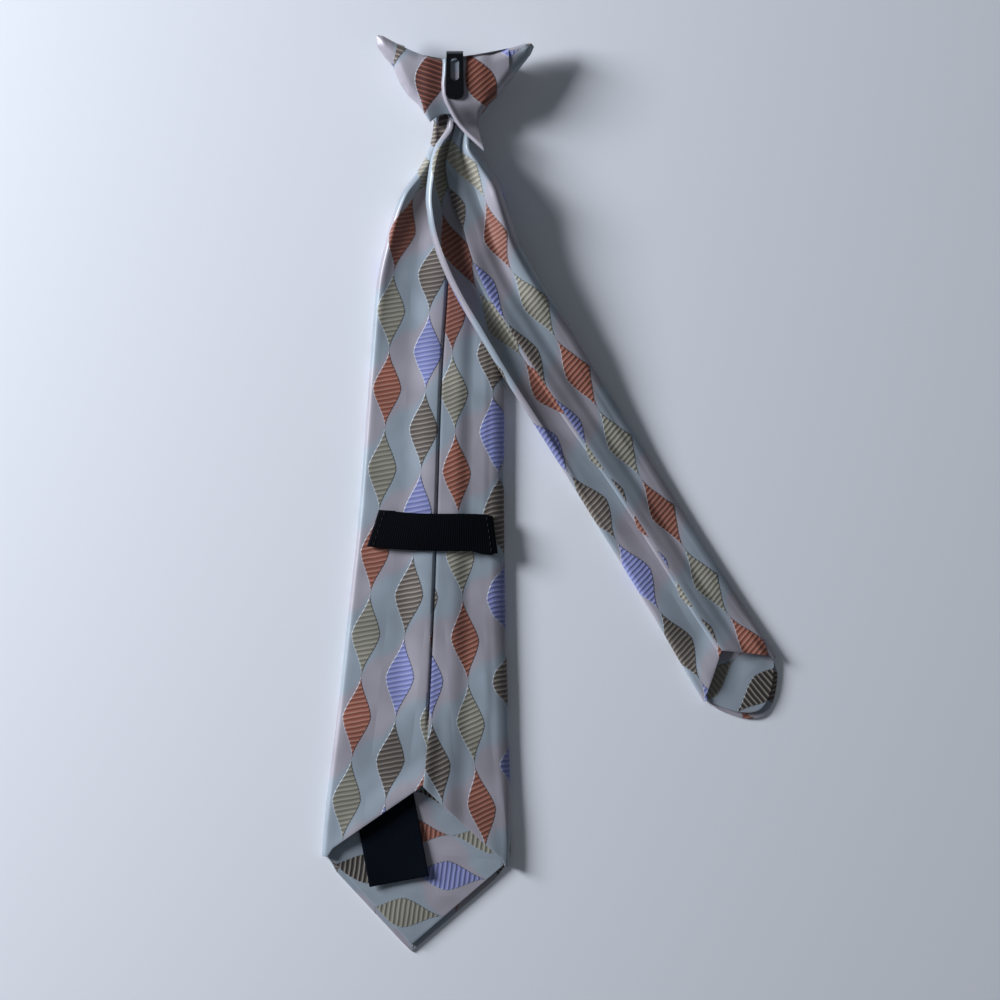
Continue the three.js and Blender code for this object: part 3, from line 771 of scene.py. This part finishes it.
    def end_of(self, panel: Panel, across: float) -> float:
        """How far from the mouth the cloth ends.

        Args:
            panel: The part of the section.
            across: The place across at the corners' section.

        Returns:
            The length at which that column ends.
        """
        corner = self.length - self.point
        share = across / self.half
        if panel is Panel.FRONT:
            return corner + self.reach(share)
        if panel in (Panel.TUCK, Panel.LEFT_FLAP):
            return corner - self.hem * (1 + share)
        if panel in (Panel.RIGHT_FLAP, Panel.LAP):
            return corner - self.hem * (1 - share)
        return corner

    def reach(self, share: float) -> float:
        """How far the front's point reaches beyond the corners, at a share of half the width."""
        return self.point * (1 - abs(share) ** self.point_power)

    def spot(self, length: float, across: float, height: float) -> Spot:
        """A point beside the blade's route, in millimetres from the knot's mouth."""
        k = length / self.length * self.steps
        low = min(max(math.floor(k), 0), self.steps - 1)
        (ax, ay, turn_a), (bx, by, turn_b) = self.route[low], self.route[low + 1]
        t = k - low
        heading = mix(turn_a, turn_b, t)
        x = mix(ax, bx, t) + across * math.cos(heading)
        return (x, mix(ay, by, t) + across * math.sin(heading), height)

    def slack(self, panel: Panel, t: float, length: float, across: float, end: float) -> float:
        """How far the flaps' cloth stands off its flat lie: soft waves, and lifted hems."""
        near_fold = {Panel.LEFT_FLAP: 1 - t, Panel.RIGHT_FLAP: t, Panel.TUCK: 1.0, Panel.LAP: 1.0}
        if panel not in near_fold:
            return 0.0
        freed = ease(near_fold[panel] * 2.5)
        wave = sum(size * math.sin(length / long + across / wide) for size, long, wide in self.waves)
        lift = self.hem_lift * ease(1 - (end - length) / self.hem_run)
        return ((wave + self.wave_lift) * ease(length / self.wave_start) + lift) * freed

    def cloth_piece(self, finish: Material) -> None:
        """Makes the folded cloth.

        Args:
            finish: The woven material.
        """
        corner = self.measures(self.length - self.point)
        ends = [self.end_of(panel, self.section(panel, t, corner)[0]) for panel, t in self.columns]

        def woven(i: int, j: int) -> tuple[Spot, Point]:
            """The point of a column and row, and its place on the pattern."""
            panel, t = self.columns[i]
            length = -self.neck_depth * (1 - j / self.neck_rows)
            if j >= self.neck_rows:
                length = ends[i] * (j - self.neck_rows) / (self.rows - self.neck_rows)
            m = self.measures(max(length, 0.0))
            across, height, beyond = self.section(panel, t, m)
            across *= 1 - self.pinch * ease(-length / self.pinch_run)
            height += self.slack(panel, t, length, across, ends[i])
            left, right = self.left_on_cloth.at(length), self.right_on_cloth.at(length)
            if panel in (Panel.TUCK, Panel.LEFT_FLAP, Panel.LEFT_FOLD):
                u = left + beyond
            elif panel is Panel.FRONT:
                u = mix(left + QUARTER * m.left_radius, right - QUARTER * m.right_radius, beyond)
            else:
                u = right + beyond
            return self.spot(length, across, height), (u / COLUMN_MM, self.lozenges.at(length))

        piece = shaped_grid(self.name, len(self.columns) - 1, self.rows, woven)
        thicken(piece, self.thickness)
        dress(piece, finish, "tie_cloth", self.node)
        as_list(self.rests_on)


def turned(spot: Point, middle: Point, turn: float) -> Point:
    """How far a spot is from a middle, along a direction and to its right.

    Args:
        spot: The spot in plan.
        middle: The middle in plan.
        turn: How far the direction is turned from +X, in degrees.

    Returns:
        The distances along and to the right.
    """
    angle = math.radians(turn)
    dx, dy = spot[0] - middle[0], spot[1] - middle[1]
    return dx * math.cos(angle) + dy * math.sin(angle), dx * math.sin(angle) - dy * math.cos(angle)


def straight(first: Point, last: Point) -> Curve:
    """A curve that is a straight line between two stops, given as (stop, value)."""
    count = 60
    stops = tuple(mix(first[0], last[0], k / count) for k in range(count + 1))
    return Curve(stops, tuple(mix(first[1], last[1], k / count) for k in range(count + 1)))


@dataclass
class TipLining:
    """The lining inside a blade's end, cut from the same cloth and turned by a quarter."""

    name: str
    node: str
    blade: FoldedBlade
    inset: float
    middle: Point
    turn: float
    flat: Point
    flat_area: float
    tuck: float = 8.0
    thickness: float = 0.8
    play: float = 0.3
    wave: float = 0.15
    spread: float = 1.05

    def piece(self, finish: Material) -> None:
        """Makes the lining.

        Args:
            finish: The woven material.
        """
        blade = self.blade
        corner = blade.length - blade.point
        m = blade.measures(corner)
        side = (m.right - (m.flap - m.front) / 2 - self.play) / blade.half
        columns, rows = 48, 40

        def woven(i: int, j: int) -> tuple[Spot, Point]:
            """The point of a column and row, and its place on the turned pattern."""
            share = side * (2 * i / columns - 1)
            start = corner - blade.hem * (1 - abs(share)) - self.tuck
            end = corner + blade.reach(share) - self.inset * math.sqrt(2)
            length = mix(start, end, j / rows)
            wave = self.wave * math.sin(length / 8.0 + share * 3) * ease((end - length) / 10)
            point = blade.spot(length, share * blade.half, m.front + blade.layer + wave)
            along, across = turned(point[:2], self.middle, self.turn)
            return point, (across / (COLUMN_MM * self.spread), 1 + along / LOZENGE_MM)

        piece = shaped_grid(self.name, columns, rows, woven)
        thicken(piece, self.thickness)
        dress(piece, finish, "lining_cloth", self.node)
        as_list(blade.name)


@dataclass
class CareLabel:
    """A strip of dark satin, tucked under the left flap and left bare."""

    blade: FoldedBlade
    width: float = 24.2
    length: float = 46.0
    turn: float = 13.6
    hang: float = 8.4
    side: float = -6.2
    lift: float = 0.7
    cup: float = 0.5
    play: float = 0.3
    thickness: float = 0.35

    def piece(self, finish: Material) -> None:
        """Makes the label.

        Args:
            finish: The dark satin.
        """
        blade = self.blade
        foot = blade.length - blade.point + self.hang
        m = blade.measures(foot)
        turn = math.radians(self.turn)
        columns, rows = 24, 40

        def woven(i: int, j: int) -> tuple[Spot, Point]:
            """The point of a column and row, and its place on the satin in millimetres."""
            beside = (i / columns - 0.5) * self.width
            up = (1 - j / rows) * self.length
            length = foot - up * math.cos(turn) - beside * math.sin(turn)
            across = self.side - up * math.sin(turn) + beside * math.cos(turn)
            curl = self.lift * (1 - up / self.length) ** 2
            curl += self.cup * (2 * i / columns - 1) ** 2 * ease(1 - up / 22)
            point = blade.spot(length, across, m.front + 2 * blade.layer - self.play + curl)
            return point, (i / columns * self.width, j / rows * self.length)

        piece = shaped_grid("care_label_satin", columns, rows, woven)
        thicken(piece, self.thickness, 0.1)
        dress(piece, finish, "label_satin", "care_label")


@dataclass
class KeeperLoop:
    """The ribbon across the back of the wide blade, turned under and sewn down at its ends."""

    blade: FoldedBlade
    width: float = 14.9
    where: float = 162.4
    bow: float = 0.6
    cup: float = 0.35
    sag: float = 1.2
    wander: float = 0.5
    leg: float = 6.5
    left_inset: float = 8.1
    left_slant: float = 4.0
    right_inset: float = 4.9
    right_slant: float = 2.8
    play: float = 0.35
    thickness: float = 0.6
    stitch_inset: float = 2.2
    stitch_half: float = 0.8
    stitch_rise: float = 0.42

    def ends(self, down: float) -> Point:
        """Where the ribbon's left and right ends are across the blade, a share of the way down it."""
        m = self.blade.measures(self.where)
        left = m.left + self.left_inset - self.left_slant * down
        return left, m.right - self.right_inset + self.right_slant * down

    def stitches(self) -> list[tuple[Spot, Spot]]:
        """The first and last point of each stitch along the ribbon's ends."""
        blade, count = self.blade, 6
        height = blade.measures(self.where).flap + 2 * blade.layer + self.play + self.stitch_rise
        sewn = []
        for k in range(count):
            down = (k + 0.5) / count
            length = self.where + (down - 0.5) * self.width
            left, right = self.ends(down)
            for place in (left + self.stitch_inset, right - self.stitch_inset):
                first, last = (length - self.stitch_half, length + self.stitch_half)
                sewn.append((blade.spot(first, place, height), blade.spot(last, place, height)))
        return sewn

    def piece(self, finish: Material) -> None:
        """Makes the ribbon.

        Args:
            finish: The dark ribbon.
        """
        blade = self.blade
        m = blade.measures(self.where)
        leg_height = m.flap + blade.layer + self.play
        top_height = leg_height + blade.layer
        radius = (top_height - leg_height) / 2
        legs, turns, tops, rows = 4, 8, 30, 16
        stops = [("left leg", k / legs) for k in range(legs)]
        stops += [("left turn", k / turns) for k in range(turns + 1)]
        stops += [("top", k / tops) for k in range(1, tops)]
        stops += [("right turn", k / turns) for k in range(turns + 1)]
        stops += [("right leg", k / legs) for k in range(1, legs + 1)]

        def woven(i: int, j: int) -> tuple[Spot, Point]:
            """The point of a column and row, and its place on the ribbon in millimetres."""
            kind, t = stops[i]
            down = j / rows
            length = self.where + (down - 0.5) * self.width
            left, right = self.ends(down)
            angle = t * math.pi
            if kind == "left leg":
                across, height = left + mix(self.leg, radius, t), leg_height
            elif kind == "left turn":
                across = left + radius * (1 - math.sin(angle))
                height = leg_height + radius * (1 - math.cos(angle))
            elif kind == "top":
                across = mix(left + radius, right - radius, t)
                height = top_height + (self.bow + self.cup * math.sin(down * math.pi)) * math.sin(angle)
                length += self.sag * ease((t - 0.8) / 0.12) * ease((down - 0.55) / 0.45)
                length += self.wander * math.sin(t * 5.0)
            elif kind == "right turn":
                across = right - radius * (1 - math.sin(angle))
                height = leg_height + radius * (1 + math.cos(angle))
            else:
                across, height = right - mix(radius, self.leg, t), leg_height
            return blade.spot(length, across, height), (down * self.width, i * 1.6)

        piece = shaped_grid("keeper_ribbon", len(stops) - 1, rows, woven)
        thicken(piece, self.thickness, 0.15)
        dress(piece, finish, "keeper_ribbon", "keeper_loop")


@dataclass
class Knot:
    """The pre-tied knot: a hollow wrap, two back panels folded over it, and two ears."""

    height: float = 26.4
    depth: float = 16.5
    mouth: float = 15.8
    width: float = 38.0
    wrap_depth: float = 11.1
    wall: float = 1.3
    neck: float = 9.2
    neck_top: float = 12.4
    neck_foot: float = 11.5
    rim: float = 4.0
    sharpest_rim: float = 0.9
    step: float = 0.6
    fold_lap: float = 1.6
    fold_radius: float = 1.2
    fold_lip: float = 0.7
    tongue_rise: float = 2.9
    tongue_droop: float = 3.4
    scoop: float = 5.6
    edge: float = 0.25

    def __post_init__(self) -> None:
        """Lays out the knot's outline and its curves."""
        self.left_side: Side = (
            (-9.2, -0.6), (-9.9, 1.0), (-12.2, 4.6), (-14.9, 8.3),
            (-18.6, 11.5), (-21.8, 16.1), (-23.7, 20.7), (-24.7, 23.4),
        )
        self.left_ear: Side = ((-24.7, 23.4), (-27.8, 26.7), (-31.0, 31.3), (-31.6, 34.4))
        self.left_tip: Side = ((-31.6, 34.4), (-30.9, 35.9), (-28.7, 35.5), (-22.8, 32.4))
        top_edge: Side = (
            (-22.8, 32.4), (-17.2, 30.2), (-11.7, 27.2), (-8.0, 26.4), (-3.4, 26.1),
            (3.9, 26.3), (10.3, 27.5), (14.9, 28.3), (18.6, 29.5), (21.4, 30.6),
        )
        self.right_tip: Side = ((21.4, 30.6), (27.8, 32.5), (30.5, 32.5), (31.6, 31.2))
        self.right_ear: Side = ((31.6, 31.2), (30.3, 28.1), (25.5, 22.1), (21.8, 17.0))
        self.right_side: Side = (
            (21.8, 17.0), (20.0, 14.8), (15.8, 10.2), (13.5, 8.0),
            (10.6, 5.4), (9.9, 3.0), (9.4, 0.6), (9.2, -1.0),
        )
        self.outline = Line(
            self.left_side + self.left_ear[1:] + self.left_tip[1:] + top_edge[1:]
            + self.right_tip[1:] + self.right_ear[1:] + self.right_side[1:]
        )
        stops = (-31.6, -28.0, -24.8, -19.6, -15.2, -10.0, 10.0, 15.0, 19.8, 25.7, 28.8, 31.6)
        self.high = Curve(stops, (0.76, 0.87, 0.91, 0.95, 0.97, 1.0, 1.0, 0.97, 0.95, 0.9, 0.87, 0.75))
        self.low = Curve(stops, (0.64, 0.44, 0.36, 0.3, 0.46, 0.7, 0.7, 0.46, 0.3, 0.38, 0.46, 0.62))

    def skin(self, spot: Point, inset: float = 0.0) -> Point:
        """The knot's back and under surfaces over a spot in plan.

        Args:
            spot: The place in millimetres.
            inset: How far inside the outer skin it is.

        Returns:
            The heights of the under and the upper surface.
        """
        x, y = spot
        neck = ease((y + 1.5) / 12.0)
        top = mix(self.neck_top, self.high.at(x) * self.depth, neck)
        foot = mix(self.neck_foot, self.low.at(x) * self.depth, ease((y - 2) / 9.0))
        middle, half = (top + foot) / 2, (top - foot) / 2
        radius = max(self.sharpest_rim, min(half, self.rim))
        t = min(self.outline.distance(spot) / radius, 1.0)
        swell = math.sqrt(1 - (1 - t) ** 2)
        room = max(half - inset, 0.2)
        return middle - room * swell, middle + room * swell

    def pillow(
        self,
        name: str,
        left: Line,
        right: Line,
        bow: float,
        faces: Callable[[Point], Point],
        chart: Callable[[Point], Point],
        finish: Material,
        columns: int = 44,
        rows: int = 54,
        foot_bow: float = 0.0,
    ) -> None:
        """Makes a closed soft form over a region in plan between two lines.

        Args:
            name: The piece's name.
            left: The region's left line, from its foot to its top.
            right: Its right line.
            bow: How far the top row sags between them.
            faces: Gives the heights of the under and upper surface over a spot.
            chart: Gives the place of a spot on the woven pattern.
            finish: The woven material.
            columns: Faces across.
            rows: Faces along.
            foot_bow: How far the lowest row arches between them.
        """
        around = 2 * columns + 2

        def woven(i: int, j: int) -> tuple[Spot, Point]:
            """The point of a column and row, over the top and back below, and its place on the pattern."""
            i %= around
            upper = i <= columns
            k = max(min(i if upper else around - 1 - i, columns), 0)
            s = 0.5 - 0.5 * math.cos(math.pi * k / columns)
            t = math.sin(QUARTER * j / rows)
            (ax, ay), (bx, by) = left.at(t), right.at(t)
            arch = 4 * s * (1 - s) * (bow * t * t + foot_bow * (1 - t) ** 2)
            x, y = mix(ax, bx, s), mix(ay, by, s) + arch
            under, over = faces((x, y))
            u, v = chart((x, y))
            return (x, y, over if upper else under), (u if upper else u + 2.4, v)

        piece = shaped_grid(name, around, rows, woven)
        close_up(piece, 0.01)
        soften(piece, self.edge)
        dress(piece, finish, "tie_cloth", "knot_wings")

    def chart_about(
        self,
        middle: Point,
        turn: float,
        column: float,
        number: float,
        flipped: bool = False,
        plain_beyond: float = 9.0,
    ) -> Callable[[Point], Point]:
        """A flat chart of the pattern.

        Args:
            middle: The spot in plan where the chosen lozenge has its middle.
            turn: How far its length leans from straight down, in degrees, towards +X.
            column: The column at that spot.
            number: The place along it at that spot.
            flipped: Whether the columns count towards the left.
            plain_beyond: How many columns to the left of the spot the lozenges stop.

        Returns:
            A function from a spot to its place on the pattern.
        """

        def chart(spot: Point) -> Point:
            """The place of a spot on the pattern."""
            beside, along = turned(spot, middle, turn)
            shift = max(beside / COLUMN_MM, -plain_beyond)
            return (column + (-shift if flipped else shift), number + along / LOZENGE_MM)

        return chart

    def panels(self, cloth: Material, left_cloth: Material, right_cloth: Material) -> None:
        """Makes the two back panels and the ears.

        Args:
            cloth: The ears' woven material.
            left_cloth: The left panel's, with its own slant, fuller lozenges and darker rust that is painted
                shade.
            right_cloth: The right panel's, with fuller lozenges and darker rust that is painted shade.
        """
        left_line = Line(self.left_side[1:] + ((-22.8, 32.4),))
        under_line = Line(((-0.6, 3.8), (-1.6, 9.0), (-2.2, 18.0), (-2.0, 26.2)))
        fold_line = Line(
            ((11.2, -10.4), (7.8, -7.2), (3.9, -3.6), (1.0, -0.2), (-1.3, 3.6), (-4.1, 8.8))
            + ((-5.1, 12.0), (-5.4, 16.0), (-5.0, 20.0), (-4.7, 26.2))
        )
        tongue = ((11.6, -10.4), (10.9, -7.6), (10.0, -4.4), (9.4, -1.6))
        right_line = Line(tongue + tuple(reversed(self.right_side[:-1])) + ((21.4, 30.6),))

        def left_faces(spot: Point) -> Point:
            """The left panel's surfaces."""
            under, over = self.skin(spot)
            under = mix(over - 2.4, under, ease((spot[1] - 2.0) / 8.0))
            return under, over - 0.9 * ease((spot[0] + 12.0) / 9.0)

        def right_faces(spot: Point) -> Point:
            """The right panel's surfaces, with its folded edge lying on the left one."""
            under, over = self.skin(spot)
            edge = fold_line.distance(spot)
            away = max(edge - self.fold_lap, 0.0)
            over += self.tongue_rise * ease((1.0 - spot[1]) / 10.0)
            over -= self.tongue_droop * ease((9.0 - spot[1]) / 9.0) * ease(away / 7.0)
            under = min(mix(over - 2.2, under, ease((spot[1] - 1.0) / 7.0)), over - self.fold_lap)
            roll = math.sqrt(1 - (1 - min(edge / self.fold_radius, 1.0)) ** 2)
            lip = self.fold_lip * math.exp(-(((edge - 1.1) / 1.0) ** 2))
            base = over - 1.0
            rest = mix(base, under, ease((edge - 4.0) / 2.0))
            return rest, mix(base + 0.1, over + lip, roll)

        self.pillow(
            "knot_left_panel", left_line, under_line, -1.6, left_faces,
            self.chart_about((-9.8, 18.4), -10.0, 0.0, 0.0, flipped=True), left_cloth, foot_bow=1.6,
        )
        self.pillow(
            "knot_right_panel", fold_line, right_line, -0.6, right_faces,
            self.chart_about((10.4, 16.4), 25.0, 0.0, 0.0, flipped=True, plain_beyond=0.55), right_cloth,
        )
        for name, lower, upper, chart in (
            (
                "knot_left_ear",
                ((-21.5, 22.5),) + self.left_ear,
                ((-20.0, 31.4),) + tuple(reversed(self.left_tip)),
                self.chart_about((-18.0, 42.0), -20.0, 1.0, -0.5),
            ),
            (
                "knot_right_ear",
                ((19.5, 16.5),) + tuple(reversed(self.right_ear)),
                ((19.5, 29.9),) + self.right_tip,
                self.chart_about((41.0, 37.9), -62.7, 1.0, -0.5),
            ),
        ):
            faces = partial(self.skin, inset=self.step)
            self.pillow(name, Line(lower), Line(upper), 0.0, faces, chart, cloth, columns=24, rows=30)

    def wrap(self, cloth: Material) -> None:
        """Makes the wrap: the funnel of cloth round the necks of both blades."""
        across = Curve((0.0, 0.12, 0.3, 0.55, 0.8, 0.93, 1.0), (0.0, 0.14, 0.49, 0.763, 0.943, 0.902, 0.686))
        deep = Curve((0.0, 0.8, 0.93, 1.0), (1.0, 1.0, 0.97, 0.84))
        around, rows, power = 64, 44, 2 / 3

        def woven(i: int, j: int) -> tuple[Spot, Point]:
            """The point of a column and row, up the outside and over the top, with its pattern's place."""
            angle = (i % around + 0.5) / around * 2 * math.pi
            if j < 6:
                up, inset = self.neck / self.height * (1 - j / 5), self.wall
            elif j < rows - 6:
                up, inset = (j - 6) / (rows - 13), 0.0
            else:
                up, inset = 1.0, (j - (rows - 7)) / 7 * 20.0
            half = mix(self.mouth, self.width, across.at(up)) / 2
            tall = deep.at(up) * self.wrap_depth
            shrink = max(0.0, 1 - inset / half)
            rise = max(0.0, 1 - inset / (tall / 2))
            cos, sin = math.cos(angle), math.sin(angle)
            x = half * shrink * math.copysign(abs(cos) ** power, cos)
            z = tall / 2 + tall / 2 * rise * math.copysign(abs(sin) ** power, sin)
            scoop = self.scoop * ease((2.0 - x) / 8.0) * ease((x + 10.5) / 4.0) * ease((z - 6.0) / 3.0)
            y = up * self.height + scoop * max(0.0, 1 - up * 3)
            return (x, y, z), (i / around * 6.0, 0.3 - y / LOZENGE_MM)

        piece = shaped_grid("knot_wrap_cloth", around, rows, woven)
        close_up(piece)
        dress(piece, cloth, "tie_cloth", "knot_wrap")


@dataclass
class Stitching:
    """Short stitches of thread, each a thin bowed rod lying on the cloth."""

    name: str
    slot: str
    radius: float = 0.16

    def piece(self, stitches: list[tuple[Spot, Spot]], finish: Material) -> None:
        """Makes the stitches.

        Args:
            stitches: For each, its first and last point in millimetres from the knot's mouth.
            finish: The thread.
        """
        shape = bmesh.new()
        for first, last in stitches:
            a, b = Vector(first), Vector(last)
            ball = bmesh.ops.create_uvsphere(shape, u_segments=8, v_segments=6, radius=self.radius * MM)
            run = (b - a).length
            turn = (b - a).to_track_quat("Z", "Y")
            for vert in ball["verts"]:
                share = vert.co.z / (self.radius * MM)
                point = turn @ Vector((vert.co.x, vert.co.y, share * run / 2 * MM))
                middle = ORIGIN + (a + b) / 2 * MM
                vert.co = middle + point + Vector((0, 0, 0.1 * MM * (1 - share * share)))
        piece = finish_mesh(self.name, shape)
        dress(piece, finish, self.slot)


@dataclass
class Studio:
    """The pale floor, the soft light from the left and the camera above."""

    height: float = 2.404
    knot_height: float = 0.004
    middle: Point = (-0.01866, -0.0023)
    view_width: float = 0.4
    sensor: float = 36.0

    def camera(self) -> None:
        """Puts the camera where the photograph was taken from, looking straight down."""
        data = bpy.data.cameras.new("camera")
        data.sensor_width = self.sensor
        data.lens = self.sensor * (self.height - self.knot_height) / self.view_width
        camera = bpy.data.objects.new("camera", data)
        camera.location = (*self.middle, self.height)
        bpy.context.scene.collection.objects.link(camera)
        bpy.context.scene.camera = camera

    def floor(self) -> None:
        """Lays a plain pale floor under the tie."""
        shape = bmesh.new()
        bmesh.ops.create_grid(shape, x_segments=1, y_segments=1, size=3)
        floor = finish_mesh("floor", shape)
        material, _, shader = new_material("pale_floor")
        feed(shader, {"Base Color": "#EEF0F4", "Roughness": 0.9})
        floor.data.materials.append(material)

    def lights(self) -> None:
        """Sets a broad soft light low on the left, a weak one on the right, and pale air."""
        for name, where, size, power in (
            ("window", (-1.2, 0.42, 0.52), 0.45, 29.0),
            ("fill", (0.9, -0.6, 1.2), 1.2, 1.2),
        ):
            data = bpy.data.lights.new(name, "AREA")
            data.size = size
            data.energy = power
            data.color = linear("#F1F6FF")[:3]
            lamp = bpy.data.objects.new(name, data)
            lamp.location = where
            lamp.rotation_euler = (-Vector(where)).to_track_quat("-Z", "Y").to_euler()
            bpy.context.scene.collection.objects.link(lamp)
        world = bpy.data.worlds.new("air")
        world.use_nodes = True
        feed(world.node_tree.nodes["Background"], {0: "#D9E3F3", 1: 0.1})
        bpy.context.scene.world = world
        bpy.context.scene.view_settings.view_transform = "Standard"


def main() -> None:
    """Builds and dresses the tie."""
    logging.basicConfig(level=logging.INFO, format="%(name)s: %(message)s")
    studio = Studio()
    studio.camera()
    studio.floor()
    studio.lights()

    wide_cloth = OgeeJacquard(name="polyester_jacquard_wide", slant=-0.24, far_slant=-0.48).build()
    cloth = OgeeJacquard().build()
    full = OgeeJacquard(roundness=1.0, half_width_mm=6.0, body_share=0.5)
    # The knot panels' rust lozenges are darker than the blades': painted shade on the knot.
    left_cloth = replace(
        full, name="polyester_jacquard_left", slant=0.15, far_slant=0.15, rust="#8E5748", rust_base_and_groove_shade="#4F261E"
    ).build()
    right_cloth = replace(full, name="polyester_jacquard_right", rust="#99634F", rust_base_and_groove_shade="#6A3528").build()
    turned = OgeeJacquard(
        name="polyester_jacquard_lining", slant=0.05, far_slant=0.05, taupe_base_and_groove_shade="#332D2A"
    ).build()
    ribbon = RibbedRibbon("black_ribbon", "#010308", "#04070D", 0.9, 0.6).build()
    satin = RibbedRibbon("label_satin", "#04080F", "#0C121D", 0.5, 0.42).build()
    enamel = BlackEnamel().build()
    pale_thread_and_lit_edge = SewingThread("pale_thread_and_lit_edge", "#C9C6BC", "#8F8B80").build()
    dark_thread_and_shaded_edge = SewingThread("dark_thread_and_shaded_edge", "#07090E", "#020304").build()

    wide = FoldedBlade(
        name="wide_blade_cloth",
        node="wide_blade",
        sections=WIDE_SECTIONS,
        length=331.0,
        half=37.8,
        neck_height=1.8,
        turn=Curve((0, 1), (-3.05, -3.05)),
        point=36.4,
        hem=30.4,
        point_power=1.0,
        left_on_cloth=Curve((-10, 5, 24, 340), (-12.5, -12.5, 8.7, 8.7)),
        right_on_cloth=straight((-10, 70.1), (340, 83.8)),
        lozenges=Curve(
            (-10, 28.4, 59.6, 90.8, 122, 155.2, 188.4, 221.6, 254.8, 288, 340),
            (-3.73, -2.5, -1.5, -0.5, 0.5, 1.5, 2.5, 3.5, 4.5, 5.5, 7.07),
        ),
        flat=(0.165, 0.339),
        flat_area=0.0365,
        rests_on=("floor",),
        rows=250,
        groove=Curve((-10, 20, 50, 225, 246, 340), (0, 0, 1.6, 1.6, 0, 0)),
        lip=Curve((-10, 225, 250, 340), (0, 0, 1.1, 1.1)),
        right_reach=Curve((-10, 240, 290, 340), (4.8, 4.8, 1.5, 1.5)),
    )
    tail = FoldedBlade(
        name="narrow_tail_cloth",
        node="narrow_tail",
        sections=TAIL_SECTIONS,
        length=269.4,
        half=17.4,
        neck_height=5.7,
        trough_rise=8.6,
        turn=Curve(
            (0, 0.032, 0.094, 0.156, 0.217, 0.279, 1),
            tuple(31.9 * share for share in (0, 0.12, 0.38, 0.5, 0.82, 1, 1)),
        ),
        point=17.2,
        hem=14.0,
        point_power=1.8,
        left_on_cloth=Curve((-10, 8, 20, 105, 140, 172, 280), (-23, -23, -18.8, -18.8, -14, -11.9, -11.9)),
        right_on_cloth=Curve((-10, 15, 50, 90, 280), (17.9, 17.9, 20.2, 24, 24)),
        lozenges=straight((-10, -1 + (-10.0 - 48.4) / 32.6), (280, -1 + (280.0 - 48.4) / 32.6)),
        flat=(0.078, 0.276),
        flat_area=0.0191,
        rests_on=("wide_blade_cloth", "floor"),
        rows=220,
        groove=Curve((-10, 45, 75, 225, 245, 280), (0, 0, -1.3, -1.3, 0, 0)),
        lip=Curve((-10, 30, 60, 280), (0, 0, 1.2, 1.2)),
        right_reach=Curve((-10, 215, 250, 280), (3, 3, 1.4, 1.4)),
        right_spread=1.15,
    )
    wide.cloth_piece(wide_cloth)
    tail.cloth_piece(cloth)
    for node, blade, middle, turn, flat, area in (
        ("blade_tip_lining", wide, (-20.9, -314.8), -5.0, (0.0705, 0.072), 0.0031),
        ("tail_tip_lining", tail, (100.8, -223.6), 43.0, (0.0316, 0.0375), 0.0008),
    ):
        TipLining(node + "_cloth", node, blade, 2.0, middle, turn, flat, area).piece(turned)
    CareLabel(wide).piece(satin)
    keeper = KeeperLoop(wide)
    keeper.piece(ribbon)
    knot = Knot()
    knot.panels(cloth, left_cloth, right_cloth)
    knot.wrap(cloth)

    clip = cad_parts["clip"]
    clip.data.materials.clear()
    clip.data.materials.append(enamel)

    m = tail.measures(151.0)
    start = tail.spot(150.0, m.seam + 0.2, m.flap + 2.2)
    tack = [(start, tail.spot(152.6, m.seam + 1.3 * side, m.flap + 2.1)) for side in (-1, 1)]
    Stitching("tail_bar_tack", "tie_cloth").piece(tack, pale_thread_and_lit_edge)

    Stitching("keeper_stitches", "keeper_ribbon").piece(keeper.stitches(), dark_thread_and_shaded_edge)


if __name__ == "__main__":
    main()
